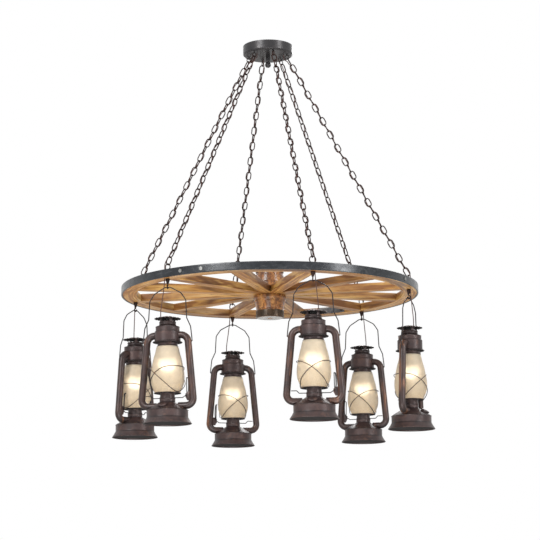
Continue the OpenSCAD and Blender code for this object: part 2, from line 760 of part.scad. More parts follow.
// Turned hub with a waist between two shoulders for the spokes
module hub() {
    end = hub_h / 2;
    band_low = end - band_inset - band_h;
    half = [[hub_bore_r, end], [hub_end_r, end], [hub_end_r, band_low], [hub_r, hub_slot + hub_shoulder_h],
        [hub_r, hub_slot], [hub_waist_r, hub_slot]];
    color("#8f4a24") translate([0, 0, wheel_z]) rotate_extrude($fn = 96)
        polygon(concat(half, [for (p = reverse(half)) [p.x, -p.y]]));
}

module hub_bands() {
    color("#5a3a2a") for (side = [-1, 1])
        translate([0, 0, wheel_z + side * (hub_h / 2 - band_inset - band_h / 2)])
            ring(hub_end_r + contact + band_t, hub_end_r + contact, band_h);
}

// Eye above the felloe, shank through it, tapered collar and hook below it, all one forging
module eye_hooks() {
    sweep = 270;
    collar_top = -felloe_h / 2 - contact;
    stem_low = hook_z + hook_r - hook_wire_r - contact;
    color("#2b2426") for (i = [1:lantern_count]) at_shank(i) {
        translate([0, 0, eye_z]) rotate([90, 0, 0]) torus(eye_r, eye_wire_r);
        rotate_extrude($fn = 48) polygon([[0, stem_low], [hook_stem_r, stem_low],
            [hook_stem_r, collar_low], [shank_r + 1, collar_low], [hook_collar_r, collar_top - hook_collar_h],
            [hook_collar_r, collar_top], [shank_r, collar_top], [shank_r, eye_z - eye_r],
            [0, eye_z - eye_r]]);
        rotate([0, 0, lantern_yaw[i - 1] - sector_az(i)]) translate([0, 0, hook_z]) rotate([90, 0, 90]) {
            rotate([0, 0, 90]) torus(hook_r, hook_wire_r, sweep);
            translate([hook_r, 0, 0]) sphere(r = hook_wire_r * weld_grow, $fn = 32);
        }
    }
}

// ---- lanterns, each in its own frame: +X toward its lever's tube, cap disc at z = 0 ----

// Wire bail from one ear over the hook to the other
module bail(i) {
    pin_x = bail_foot_x - 5.5;
    low = -bail_pin_drop;
    half = [[10, 0, bail_h], [48, 0, bail_h - 21], [65, 0, bail_h - 46], [68.5, 0, 0],
        [bail_foot_x - 6, 0, -30], [bail_foot_x, 0, low], [pin_x, 0, low]];
    half_bends = [15, 25, 15, 8, 8, 0];
    color("#241e20") at_lantern(i) bent_rod(
        concat(reverse(half), [for (p = half) [-p.x, p.y, p.z]]),
        concat(reverse(half_bends), half_bends), bail_wire_r);
}

// Axis of an air tube at a depth between its corners
function tube_axis_x(z) = tube_top_x + (tube_low_x - tube_top_x) * (tube_top_z - z) / (tube_top_z - tube_low_z);

module tube_bore(radius, start_x) {
    bent_rod([[start_x, 0, tube_top_z], [tube_top_x, 0, tube_top_z], [tube_low_x, 0, tube_low_z],
        [start_x, 0, tube_low_z]], [tube_top_bend, tube_low_bend], radius);
}

// Points of an arc round a middle point
function arc(middle, radius, from, to, steps) =
    [for (k = [0:steps]) middle + polar(radius, from + (to - from) * k / steps)];

// Upper outline of the fount, from its axis down to its bead
function fount_top(grow) = concat(
    [[0, fount_z + grow], [cup_r + grow, fount_z + grow], [shoulder_r + grow, shoulder_z + grow]],
    arc([fount_r, shoulder_z - 3], bead_r + grow, 80, -80, 4));

// One air tube with its ear for the bail
module air_tube() {
    ear_out = bail_foot_x - bail_wire_r - 0.5;
    difference() {
        union() {
            difference() {
                tube_bore(tube_d / 2, 30);
                tube_bore(tube_d / 2 - sheet_t, 29);
                translate([0, 0, flange_z - 40])
                    cylinder(r = chamber_r + contact, h = 40 - flange_z, $fn = 96);
                rotate_extrude($fn = 96) polygon(concat(fount_top(contact), [[0, side_z]]));
            }
            translate([ear_out - 4.5, 0, -bail_pin_drop]) rotate([0, 90, 0])
                cylinder(r = ear_r, h = 4.5, $fn = 32);
        }
        translate([ear_out - 6, 0, -bail_pin_drop]) rotate([0, 90, 0])
            cylinder(r = bail_wire_r + pin_fit, h = 10, $fn = rod_sides);
    }
}

// Lug on the lever's tube
module lever_bracket() {
    lug_y = lever_wire_r + 0.35;
    lug_t = handle_y - 2 * lug_y;
    wall_x = tube_axis_x(lever_z) - tube_d / 2;
    translate([0, lug_y + lug_t, lever_z]) rotate([90, 0, 0]) difference() {
        union() {
            translate([lever_x, 0, 0]) cylinder(r = bracket_r, h = lug_t, $fn = 32);
            translate([lever_x, -bracket_r, 0]) cube([wall_x - lever_x + 0.7, 2 * bracket_r, lug_t]);
        }
        translate([lever_x, 0, -1])
            cylinder(r = lever_wire_r + pin_fit, h = lug_t + 2, $fn = rod_sides);
    }
}

// Closed tank with a flared base, its floor set back above the rolled lip
module fount() {
    floor_z = base_z - lip_r + base_recess;
    flare = [base_r - 7.4, base_z + base_h * 0.53];
    floor_r = flare.x + (base_r - flare.x) * (flare.y - floor_z) / (flare.y - base_z) - sheet_t;
    lip = arc([base_r - lip_r, base_z], lip_r, 20, -180, 6);
    outside = concat(fount_top(0), [[fount_r, side_z], flare], lip,
        [[floor_r, floor_z], [0, floor_z]]);
    inside = [[0, fount_z - sheet_t], [cup_r, fount_z - sheet_t],
        [shoulder_r - sheet_t, shoulder_z - sheet_t], [fount_r - sheet_t, shoulder_z - 3 - bead_r],
        [fount_r - sheet_t, side_z], [flare.x - sheet_t, flare.y],
        [floor_r - sheet_t, floor_z + sheet_t], [0, floor_z + sheet_t]];
    difference() {
        rotate_extrude($fn = 96) polygon(outside);
        rotate_extrude($fn = 96) polygon(inside);
        on_filler() translate([0, 0, -4]) cylinder(r = filler_r * 0.55, h = 10, $fn = 48);
    }
}

// Frame on the fount's sloping shoulder, -90 degrees from the lever's tube, with +Z off the slope
module on_filler() {
    slope = atan2(shoulder_h, shoulder_r - cup_r);
    middle_r = (shoulder_r + cup_r) / 2 + 2.5;
    translate([0, -middle_r, fount_z - (middle_r - cup_r) * tan(slope)]) rotate([slope, 0, 0]) children();
}

module filler_cap() {
    on_filler() {
        translate([0, 0, contact + 2]) cylinder(r = filler_r, h = filler_h - 2, $fn = 64);
        translate([0, 0, -3]) cylinder(r = filler_r * 0.55 - contact, h = 6, $fn = 48);
        translate([0, 0, contact]) cylinder(r = filler_r - 3, h = 3, $fn = 48);
    }
}

// Open cup over the fount with two notches for the lever's arm
module burner_cup() {
    notch_w = 2 * lever_wire_r + 1;
    difference() {
        translate([0, 0, fount_z + contact]) cylinder(r = cup_r, h = cup_h - contact, $fn = 96);
        translate([0, 0, fount_z + contact + sheet_t]) cylinder(r = cup_r - sheet_t, h = cup_h, $fn = 96);
        translate([-cup_r - 1, -notch_w / 2, arm_z - lever_wire_r - 0.6])
            cube([2 * cup_r + 2, notch_w, cup_h]);
    }
}

// Two air tubes, bracket, fount, filler cap and burner cup
module lantern_frame(i) {
    color("#4b3a38") at_lantern(i) {
        union() {
            air_tube();
            lever_bracket();
        }
        mirror([1, 0, 0]) air_tube();
        fount();
        filler_cap();
        burner_cup();
    }
}

module hood_shell() {
    skin = [[chamber_r, flange_z], [chamber_r, chamber_z], [drum_r, chamber_z], [drum_r, drum_z],
        [neck_r, drum_z], [neck_r, neck_z]];
    sheet_turned(skin, sheet_t);
    translate([0, 0, flange_z - flange_t / 2]) ring(flange_r, neck_collar_r + neck_fit, flange_t);
}

module cap_disc() {
    skin = [[cap_r, 0], [cap_r - 13, 0], [12, cap_rise], [0, cap_rise]];
    sheet_turned(skin, sheet_t);
}

// Curved legs inside the neck that carry the cap
module cap_legs() {
    leg_angle = 24;
    leg_z = neck_z - 8;
    for (k = [0:3]) rotate([0, 0, 45 + 90 * k - leg_angle / 2])
        rotate_extrude(angle = leg_angle, $fn = 96) translate([neck_r - sheet_t - 0.9, leg_z])
            square([1.1, 0.5 - leg_z]);
}

// Cap disc, neck, drum and chamber with their flange
module hood(i) {
    color("#4d3b39") at_lantern(i) difference() {
        union() {
            hood_shell();
            cap_disc();
            cap_legs();
        }
        for (side = [0, 180]) rotate([0, 0, side]) translate([neck_r + 2, 0, tube_top_z])
            rotate([0, 90, 0]) cylinder(r = tube_d / 2 - sheet_t, h = 30, $fn = 48);
        rotate([0, 0, drop_yaw[i - 1] - lantern_yaw[i - 1]])
            translate([cap_hole_offset, 0, -4]) cylinder(r = cord_d / 2 + 0.9, h = cap_rise + 8, $fn = 32);
    }
}

// Strap across the chamber, socket and bulb
module lamp(i) {
    strap_len = 2 * (chamber_r - sheet_t) - 0.4;
    color("#d9d4c5") at_lantern(i) {
        difference() {
            intersection() {
                translate([-strap_w / 2, -strap_len / 2, socket_z + contact])
                    cube([strap_w, strap_len, strap_t - contact]);
                translate([0, 0, socket_z - 1]) cylinder(r = chamber_r - sheet_t - contact, h = 4, $fn = 96);
            }
            translate([0, 0, socket_z - 1]) cylinder(r = 3, h = 5, $fn = 32);
        }
        translate([0, 0, socket_z - socket_h]) cylinder(r = socket_r, h = socket_h, $fn = 48);
        translate([0, 0, socket_z - socket_h - bulb_drop]) {
            sphere(r = bulb_r, $fn = 64);
            cylinder(r = bulb_neck_r, h = bulb_drop - contact, $fn = 48);
        }
    }
}

// Glass globe, open at both ends
module globe(i) {
    inner = moved_left(reverse(globe_side), glass_t);
    color("#f2e6c8") at_lantern(i)
        rotate_extrude($fn = 96) polygon(concat(reverse(globe_side), reverse(inner)));
}

// Height of the guard's wire at an angle round the globe: high on one side, down to the plate on
// the other
function guard_z(a) = guard_top_z - (guard_top_z - guard_low_z) * pow((1 - cos(a)) / 2, guard_power);
function guard_point(a, turn, layer) = let (
    z = guard_z(a),
    radius = lookup(z, globe_lookup) + guard_gap + guard_wire_r + layer * (2 * guard_wire_r + contact))
    [radius * cos(a + turn), radius * sin(a + turn), z];

module guard_wire(turn, layer) {
    swept_tube([for (k = [0:guard_rings - 1]) guard_point(360 * k / guard_rings, turn, layer)],
        guard_wire_r, 6, [0, 0, 1], true);
}

// Plate with its skirt, collar on the globe's neck, and two crossed guard wires
module globe_cradle(i) {
    collar_low_z = globe_z - neck_collar_h;
    color("#5a4340") at_lantern(i) {
        difference() {
            union() {
                translate([0, 0, plate_z - sheet_t]) cylinder(r = plate_r, h = sheet_t, $fn = 96);
                translate([0, 0, skirt_low]) cylinder(r = skirt_r, h = skirt_h + sheet_t / 2, $fn = 96);
            }
            translate([0, 0, skirt_low - 1]) cylinder(r = skirt_r - sheet_t, h = skirt_h + 1, $fn = 96);
            translate([0, 0, plate_z - 3]) cylinder(r = plate_hole_r, h = 5, $fn = 64);
        }
        translate([0, 0, globe_z - neck_collar_h / 2])
            ring(neck_collar_r, globe_neck_r + contact, neck_collar_h);
        guard_wire(guard_turn[i - 1], 0);
        guard_wire(guard_turn[i - 1] + 180, 1);
    }
}

// Bent wire lever: handle beside the tube, pivot, and an arm under the cradle's skirt
module lift_lever(i) {
    handle_x = lever_x - 1.5;
    far_x = tube_axis_x(lever_z) - tube_d / 2 - 2;
    path = [[handle_x, handle_y + 8, lever_z + handle_h], [handle_x, handle_y, lever_z + handle_h],
        [lever_x, handle_y, lever_z], [lever_x, 0, lever_z], [lever_x - 13.5, 0, arm_z],
        [-arm_reach, 0, arm_z], [-arm_reach - 8, 0, lever_z], [-far_x, 0, lever_z]];
    color("#3a3032") at_lantern(i) bent_rod(path, [3, 0, 0, 3, 3, 3], lever_wire_r);
}

canopy();
ceiling_mount();
canopy_loops();
lamp_cords();
drop_cords();
tyre();
splice_hardware();
felloes();
spokes();
hub();
hub_bands();
eye_hooks();
for (i = [1:lantern_count]) {
    chain(i);
    bail(i);
    lantern_frame(i);
    hood(i);
    lamp(i);
    globe(i);
    globe_cradle(i);
    lift_lever(i);
}
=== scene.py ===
import math

import bmesh
import bpy
import numpy as np
from mathutils import Matrix, Vector


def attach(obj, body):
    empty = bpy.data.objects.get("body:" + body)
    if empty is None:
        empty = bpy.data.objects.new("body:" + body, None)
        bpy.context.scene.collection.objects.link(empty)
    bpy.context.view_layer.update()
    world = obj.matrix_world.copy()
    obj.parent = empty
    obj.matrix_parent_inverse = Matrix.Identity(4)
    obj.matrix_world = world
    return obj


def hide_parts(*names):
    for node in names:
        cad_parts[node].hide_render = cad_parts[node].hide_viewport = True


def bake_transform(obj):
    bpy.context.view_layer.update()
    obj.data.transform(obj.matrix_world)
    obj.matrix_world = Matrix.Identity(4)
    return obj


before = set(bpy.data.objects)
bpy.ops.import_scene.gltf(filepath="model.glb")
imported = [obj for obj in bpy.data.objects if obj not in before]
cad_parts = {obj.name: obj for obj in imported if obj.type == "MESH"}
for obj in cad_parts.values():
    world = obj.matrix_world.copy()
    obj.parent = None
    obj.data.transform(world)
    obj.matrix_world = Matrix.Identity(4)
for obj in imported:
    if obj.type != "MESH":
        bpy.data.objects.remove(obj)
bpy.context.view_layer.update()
scene = bpy.context.scene
scene.view_settings.view_transform = "Standard"

mm = 0.001  # shapes are worked out in millimetres and written to meshes in metres
chance = np.random.default_rng(41)

# Where things hang: angles in degrees anticlockwise from the front, heights from the ceiling
layout = {
    "lanterns": 6,
    "firstAngle": 16.6,
    "wheelZ": -919.0,
    "shankRing": 505.45,
    "capZ": -1070.92,
    "leverYaw": [-7, 65.6, 155, 195, 234, -17],
    "cordYaw": [42, -57, 48, 170, 107, 196],
    "guardTurn": [-2, -33, 7, 5, 0, -27],
    "bowedCord": 5,
}


# Camera, light and floor

# The view's place is in metres, and its turns are in degrees
cameraSetup = {"lens": 124.27, "sensor": 36.0, "place": (0.0014, -6.6175, -2.0587), "tilt": 100.455,
    "roll": -0.453}
studio = {
    "backgroundColour": (1.0, 1.0, 1.0, 1.0),
    "roomColour": (1.0, 0.985, 0.965, 1.0),
    "roomStrength": 0.36,
    "floorZ": -4.3,
    "floorHalf": 40.0,
    "floorColour": (0.86, 0.86, 0.855, 1.0),
    "floorLift": 0.42,
    # each softbox: place, aims at, width, height, watts
    "softboxes": [
        ((-3.2, -4.2, 1.4), (0, 0, -0.9), 1.8, 2.6, 230),
        ((3.6, -2.6, 0.4), (0, 0, -1.0), 1.0, 2.8, 110),
        ((0.6, 3.4, 1.2), (0, 0, -0.9), 2.4, 1.6, 80),
        ((0.0, -2.4, -2.45), (0, 0, -1.0), 2.6, 1.4, 60),
    ],
}


def addNode(tree, kind, inputs=None, **settings):
    node = tree.nodes.new("ShaderNode" + kind)
    for key, value in settings.items():
        setattr(node, key, value)
    for key, value in (inputs or {}).items():
        if isinstance(value, bpy.types.NodeSocket):
            tree.links.new(value, node.inputs[key])
        else:
            node.inputs[key].default_value = value
    return node


def maths(tree, operation, first, second=0.0):
    return addNode(tree, "Math", {0: first, 1: second}, operation=operation).outputs[0]


def addCamera():
    data = bpy.data.cameras.new("viewCamera")
    data.lens = cameraSetup["lens"]
    data.sensor_width = cameraSetup["sensor"]
    data.clip_start = 0.1
    data.clip_end = 200
    camera = bpy.data.objects.new("viewCamera", data)
    scene.collection.objects.link(camera)
    camera.matrix_world = (Matrix.Translation(cameraSetup["place"])
        @ Matrix.Rotation(math.radians(cameraSetup["tilt"]), 4, "X")
        @ Matrix.Rotation(math.radians(cameraSetup["roll"]), 4, "Z"))
    scene.camera = camera


# 1 for rays that show the background: camera, mirror and glass rays; 0 for rays that carry its light.
def seenDirectly(tree):
    path = addNode(tree, "LightPath")
    seen = maths(tree, "MAXIMUM", path.outputs["Is Camera Ray"], path.outputs["Is Glossy Ray"])
    return maths(tree, "MAXIMUM", seen, path.outputs["Is Transmission Ray"])


def addWorld():
    world = bpy.data.worlds.new("studioWorld")
    world.use_nodes = True
    tree = world.node_tree
    tree.nodes.clear()
    light = addNode(tree, "Background", {"Color": studio["roomColour"], "Strength": studio["roomStrength"]})
    shown = addNode(tree, "Background", {"Color": studio["backgroundColour"], "Strength": 1.0})
    mix = addNode(tree, "MixShader", {0: seenDirectly(tree), 1: light.outputs[0], 2: shown.outputs[0]})
    addNode(tree, "OutputWorld", {"Surface": mix.outputs[0]})
    scene.world = world


def addSoftboxes():
    for number, (place, aim, width, height, watts) in enumerate(studio["softboxes"], 1):
        data = bpy.data.lights.new(f"softbox{number}", "AREA")
        data.shape = "RECTANGLE"
        data.size, data.size_y, data.energy = width, height, watts
        lamp = bpy.data.objects.new(data.name, data)
        scene.collection.objects.link(lamp)
        lamp.visible_camera = False
        turn = (Vector(place) - Vector(aim)).to_track_quat("Z", "Y")
        lamp.matrix_world = Matrix.Translation(place) @ turn.to_matrix().to_4x4()


def addFloor():
    half, z = studio["floorHalf"], studio["floorZ"]
    mesh = bpy.data.meshes.new("studioFloor")
    corners = [(-half, -half, z), (half, -half, z), (half, half, z), (-half, half, z)]
    mesh.from_pydata(corners, [], [(0, 1, 2, 3)])
    floor = bpy.data.objects.new("studioFloor", mesh)
    scene.collection.objects.link(floor)
    material = bpy.data.materials.new("paleFloor")
    material.use_nodes = True
    tree = material.node_tree
    tree.nodes.clear()
    matt = addNode(tree, "BsdfDiffuse", {"Color": studio["floorColour"]})
    share = maths(tree, "MULTIPLY", seenDirectly(tree), studio["floorLift"])
    lift = addNode(tree, "Emission", {"Color": studio["floorColour"], "Strength": share})
    both = addNode(tree, "AddShader", {0: matt.outputs[0], 1: lift.outputs[0]})
    addNode(tree, "OutputMaterial", {"Surface": both.outputs[0]})
    mesh.materials.append(material)


addCamera()
addWorld()
addSoftboxes()
addFloor()
print("studio ready")


# Shape tools

# Rows (x, y, z) turned about Z: x' = x cos a - y sin a, y' = x sin a + y cos a.
def turnAboutZ(points, degrees):
    a = math.radians(degrees)
    turn = np.array([[math.cos(a), math.sin(a), 0], [-math.sin(a), math.cos(a), 0], [0, 0, 1]])
    return np.asarray(points, float) @ turn


# Rows (x, y, z) turned about X: y' = y cos a - z sin a, z' = y sin a + z cos a.
def turnAboutX(points, degrees):
    a = math.radians(degrees)
    turn = np.array([[1, 0, 0], [0, math.cos(a), math.sin(a)], [0, -math.sin(a), math.cos(a)]])
    return np.asarray(points, float) @ turn


def sectorAngle(i):
    return layout["firstAngle"] + (i - 1) * 360 / layout["lanterns"]


# Place of a hook's shank: the shank's ring radius at the sector's angle, and a height.
def shankPlace(i, z=0.0):
    return turnAboutZ([[0, -layout["shankRing"], z]], sectorAngle(i))[0]


def unit(v):
    return v / np.linalg.norm(v, axis=-1, keepdims=True)


# Catmull-Rom curve through the points: half of (2b + (c-a)t + (2a-5b+4c-d)t2 + (3b-a-3c+d)t3).
def smoothCurve(points, steps):
    p = np.asarray(points, float)
    first = np.vstack([p[:1], p, p[-1:]])
    a, b, c, d = first[:-3], first[1:-2], first[2:-1], first[3:]
    t = (np.arange(steps) / steps)[None, :, None]
    a, b, c, d = (v[:, None, :] for v in (a, b, c, d))
    bow, twist = 2 * a - 5 * b + 4 * c - d, 3 * b - a - 3 * c + d
    curve = 0.5 * (2 * b + (c - a) * t + bow * t ** 2 + twist * t ** 3)
    return np.vstack([curve.reshape(-1, p.shape[1]), p[-1:]])


# Path whose corners are arcs: the arc's middle lies bend / sin(half angle) along the corner's bisector.
def roundCorners(path, bends, steps=6, closed=False):
    p = np.asarray(path, float)
    count = len(p)
    straight = 1.56  # half the angle between two stretches, in radians, past which there is no corner
    out = []
    for k in range(count):
        bend = bends[k] if hasattr(bends, "__len__") else bends
        if bend <= 0 or (not closed and k in (0, count - 1)):
            out.append(p[k][None])
            continue
        u, v = unit(p[k - 1] - p[k]), unit(p[(k + 1) % count] - p[k])
        half = math.acos(np.clip(u @ v, -1, 1)) / 2
        if half > straight:
            out.append(p[k][None])
            continue
        middle = p[k] + unit(u + v) * bend / math.sin(half)
        start = p[k] + u * bend / math.tan(half) - middle
        end = p[k] + v * bend / math.tan(half) - middle
        sweep = math.pi - 2 * half
        t = np.linspace(0, 1, steps + 1)[:, None]
        out.append(middle + (np.sin((1 - t) * sweep) * start + np.sin(t * sweep) * end) / math.sin(sweep))
    return np.vstack(out)


# The same path with points added so that no stretch is longer than the step.
def densify(path, step, closed=False):
    p = np.asarray(path, float)
    ends = np.vstack([p, p[:1]]) if closed else p
    lengths = np.linalg.norm(np.diff(ends, axis=0), axis=1)
    pieces = [a + (b - a) * (np.arange(n) / n)[:, None]
        for a, b, n in zip(ends[:-1], ends[1:], np.maximum(1, np.ceil(lengths / step)).astype(int))]
    return np.vstack(pieces if closed else pieces + [p[-1:]])


# A grid of points (along, around, 3); grain holds a wood piece's own coordinates for each point.
def surface(points, closeAlong=False, closeAround=True, grain=None):
    return {"points": np.asarray(points, float), "along": closeAlong, "around": closeAround, "grain": grain}


# The grid with one more ring at each end, drawn in to that end's middle.
def closeEnds(points):
    first, last = points[:1].mean(axis=1, keepdims=True), points[-1:].mean(axis=1, keepdims=True)
    wide = points.shape[1]
    return np.concatenate([np.repeat(first, wide, 1), points, np.repeat(last, wide, 1)])


# Round wire: at each path point a ring, middle + radius (cos a u + sin a v), with u across side and the
# path.
def sweep(path, radius, sides, side, closed=False):
    p = np.asarray(path, float)
    ahead = np.roll(p, -1, 0) if closed else np.vstack([p[1:], p[-1:]])
    behind = np.roll(p, 1, 0) if closed else np.vstack([p[:1], p[:-1]])
    along = unit(ahead - behind)
    u = unit(np.cross(np.asarray(side, float), along))
    v = np.cross(along, u)
    a = np.linspace(0, 2 * math.pi, sides, endpoint=False)[None, :, None]
    wide = np.broadcast_to(np.asarray(radius, float).reshape(-1, 1, 1), (len(p), 1, 1))
    grid = p[:, None, :] + wide * (np.cos(a) * u[:, None, :] + np.sin(a) * v[:, None, :])
    return surface(grid if closed else closeEnds(grid), closeAlong=closed)


# Outline of (radius, height) points carried round Z: (r cos a, r sin a, z).
def turned(outline, segments, closed=False):
    o = np.asarray(outline, float)
    a = np.linspace(0, 2 * math.pi, segments, endpoint=False)
    grid = np.stack([o[:, :1] * np.cos(a), o[:, :1] * np.sin(a), np.repeat(o[:, 1:], segments, 1)], -1)
    return surface(grid, closeAlong=closed)


# Section of (radius, height) points carried through part of a turn, with its ends closed.
def swept(section, angles, closed=False):
    a = np.radians(angles)[:, None]
    s = np.asarray(section, float)
    grid = np.stack([s[:, 0] * np.sin(a), -s[:, 0] * np.cos(a), np.repeat(s[None, :, 1], len(a), 0)], -1)
    return grid if closed else closeEnds(grid)


# One mesh from several grids: quads between neighbouring rows, doubles merged, faces turned outward. Its
# UV map "run" holds the metres run around and along, and its attribute "grain" the piece's own
# coordinates.
def makeMesh(name, surfaces, crease=38):
    points, quads, corners, grains = [], [], [], []
    base = 0
    for s in surfaces:
        p = s["points"] * mm
        rows, columns = p.shape[:2]
        a, b = np.meshgrid(np.arange(rows if s["along"] else rows - 1),
            np.arange(columns if s["around"] else columns - 1), indexing="ij")
        c, d = (a + 1) % rows, (b + 1) % columns
        quads.append(np.stack([a * columns + b, a * columns + d, c * columns + d, c * columns + b], -1)
            .reshape(-1, 4) + base)
        alongSteps = np.linalg.norm(np.diff(p, axis=0, append=p[:1]), axis=2).mean(1)
        aroundSteps = np.linalg.norm(np.diff(p, axis=1, append=p[:, :1]), axis=2).max(0)
        alongRun, aroundRun = (np.concatenate([[0], v.cumsum()]) for v in (alongSteps, aroundSteps))
        corners.append(np.stack([np.stack([aroundRun[b], alongRun[a]], -1),
            np.stack([aroundRun[b + 1], alongRun[a]], -1), np.stack([aroundRun[b + 1], alongRun[a + 1]], -1),
            np.stack([aroundRun[b], alongRun[a + 1]], -1)], -2).reshape(-1, 2))
        grains.append((s["points"] if s["grain"] is None else s["grain"]).reshape(-1, 3) * mm)
        points.append(p.reshape(-1, 3))
        base += rows * columns
    points, quads, corners = np.vstack(points), np.vstack(quads), np.vstack(corners)
    mesh = bpy.data.meshes.new(name)
    mesh.vertices.add(len(points))
    mesh.vertices.foreach_set("co", points.astype(np.float32).ravel())
    mesh.loops.add(quads.size)
    mesh.loops.foreach_set("vertex_index", quads.astype(np.int32).ravel())
    mesh.polygons.add(len(quads))
    mesh.polygons.foreach_set("loop_start", np.arange(0, quads.size, 4, dtype=np.int32))
    mesh.update(calc_edges=True)
    mesh.uv_layers.new(name="run").data.foreach_set("uv", corners.astype(np.float32).ravel())
    mesh.attributes.new("grain", "FLOAT_VECTOR", "POINT").data.foreach_set("vector",
        np.vstack(grains).astype(np.float32).ravel())
    work = bmesh.new()
    work.from_mesh(mesh)
    bmesh.ops.remove_doubles(work, verts=work.verts, dist=2e-6)
    bmesh.ops.recalc_face_normals(work, faces=work.faces)
    work.to_mesh(mesh)
    work.free()
    mesh.polygons.foreach_set("use_smooth", np.ones(len(mesh.polygons), bool))
    mesh.set_sharp_from_angle(angle=math.radians(crease))
    mesh.update()
    return mesh


# A piece in place of a node.
def addPiece(name, mesh, material, body, node):
    piece = bpy.data.objects.new(name, mesh)
    scene.collection.objects.link(piece)
    mesh.materials.append(material)
    if body:
        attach(piece, body)
    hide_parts(node)
    return piece


# A lantern's mesh has +X toward its lever's tube and its cap disc at z = 0. Its copy is turned and moved
# to its hook.
def lanternCopy(mesh, name, i):
    made = mesh.copy()
    made.name = name
    place = Matrix.Translation([v * mm for v in shankPlace(i, layout["capZ"])])
    made.transform(place @ Matrix.Rotation(math.radians(layout["leverYaw"][i - 1]), 4, "Z"))
    return made


# Finishes

def newFinish(name):
    material = bpy.data.materials.new(name)
    material.use_nodes = True
    tree = material.node_tree
    tree.nodes.clear()
    shader = addNode(tree, "BsdfPrincipled")
    addNode(tree, "OutputMaterial", {"Surface": shader.outputs[0]})
    return material, tree, shader


# A value carried from one range to another, and held at its ends.
def ranged(tree, value, fromLow, fromHigh, toLow=0.0, toHigh=1.0):
    return addNode(tree, "MapRange", {"Value": value, "From Min": fromLow, "From Max": fromHigh,
        "To Min": toLow, "To Max": toHigh}).outputs[0]


def axisOf(tree, vector, axis):
    return addNode(tree, "SeparateXYZ", {0: vector}).outputs[axis]


def objectPlace(tree):
    return addNode(tree, "TexCoord").outputs["Object"]


# A piece's own coordinates: a board's run lies along Y, and a lantern's cap disc at z = 0.
def ownPlace(tree):
    return addNode(tree, "Attribute", attribute_name="grain").outputs["Vector"]


# 1 on faces that look up, and -1 on faces that look down.
def facingUp(tree):
    return axisOf(tree, addNode(tree, "NewGeometry").outputs["Normal"], "Z")


def stretched(tree, vector, stretch):
    return addNode(tree, "Mapping", {"Vector": vector, "Scale": stretch}).outputs[0]


def cloud(tree, vector, scale, detail=4.0, roughness=0.55, distortion=0.0):
    return addNode(tree, "TexNoise", {"Vector": vector, "Scale": scale, "Detail": detail,
        "Roughness": roughness, "Distortion": distortion}).outputs["Fac"]


# Grey or colour ramp: stops are (place, value), and a value is a number or a colour.
def ramp(tree, share, stops):
    node = addNode(tree, "ValToRGB", {"Fac": share})
    marks = node.color_ramp.elements
    while len(marks) < len(stops):
        marks.new(0.5)
    for mark, (place, value) in zip(marks, stops):
        mark.position = place
        mark.color = (*value, 1.0) if hasattr(value, "__len__") else (value, value, value, 1.0)
    return node.outputs["Color"]


def blendColours(tree, share, first, second, mode="MIX"):
    node = addNode(tree, "Mix", {0: share}, data_type="RGBA", blend_type=mode)
    for socket, value in ((node.inputs[6], first), (node.inputs[7], second)):
        if isinstance(value, bpy.types.NodeSocket):
            tree.links.new(value, socket)
        else:
            socket.default_value = (*value, 1.0)
    return node.outputs[2]


def addBump(tree, shader, height, distance, strength=1.0, below=None):
    inputs = {"Height": height, "Distance": distance, "Strength": strength}
    if below is not None:
        inputs["Normal"] = below
    bump = addNode(tree, "Bump", inputs)
    tree.links.new(bump.outputs[0], shader.inputs["Normal"])
    return bump.outputs[0]


# Grey by height: 1, and a dip to a third at each corner's height, as wide as that corner's half width:
# painted shade in the corners.
def cornerShade(tree, corners):
    stops = sorted((z + side * wide, 1.0 if side else 0.3) for z, wide in corners for side in (-1, 0, 1))
    low, high = stops[0][0] - 1, stops[-1][0] + 1
    run = ranged(tree, axisOf(tree, ownPlace(tree), "Z"), low * mm, high * mm)
    return ramp(tree, run, [((z - low) / (high - low), value) for z, value in stops])


# Aged metal: two tones in soft clouds, a brighter worn tone along streaks, and a fine rolled grit.
# Corners are (height, half width) in the piece's own frame, where the tone drops to a third: painted shade
# in the corners. The last argument is the share of the tone left on faces that look down: painted shade
# under the piece, where the faces are made rougher (dull) as well.
def metalFinish(name, dark, brown, bright, brightShare=0.5, metallic=0.55, rough=(0.34, 0.52),
        streak=(1, 1, 1), grit=0.00006, specular=0.5, corners=(), undersideShade=1.0):
    material, tree, shader = newFinish(name)
    place = objectPlace(tree)
    clouds = ramp(tree, cloud(tree, place, 26, 5, 0.6, 0.4), [(0.36, 0.0), (0.66, 1.0)])
    tone = blendColours(tree, clouds, dark, brown)
    worn = cloud(tree, stretched(tree, place, streak), 34, 3, 0.6, 0.8)
    share = maths(tree, "MULTIPLY", ramp(tree, worn, [(0.56, 0.0), (0.74, 1.0)]), brightShare)
    tone = blendColours(tree, share, tone, bright)
    roughness = ranged(tree, cloud(tree, place, 60, 5, 0.65), 0.35, 0.65, *rough)
    # painted shade: the tone drops at the listed corner heights
    if corners:
        tone = blendColours(tree, 1.0, tone, cornerShade(tree, corners), "MULTIPLY")
    # painted shade: faces that look down keep only a share of the tone
    if undersideShade < 1:
        facing = facingUp(tree)
        shade = ramp(tree, ranged(tree, facing, -1.0, 1.0), [(0.15, undersideShade), (0.42, 1.0)])
        tone = blendColours(tree, 1.0, tone, shade, "MULTIPLY")
        roughness = maths(tree, "MAXIMUM", roughness, ranged(tree, facing, -0.96, -0.6, 1.0, 0.0))
    tree.links.new(tone, shader.inputs["Base Color"])
    tree.links.new(roughness, shader.inputs["Roughness"])
    shader.inputs["Metallic"].default_value = metallic
    shader.inputs["Specular IOR Level"].default_value = specular
    soft = addBump(tree, shader, cloud(tree, place, 40, 3, 0.5), 0.0004, 0.5)
    addBump(tree, shader, cloud(tree, place, 900, 3, 0.6), grit, 1.0, soft)
    return material
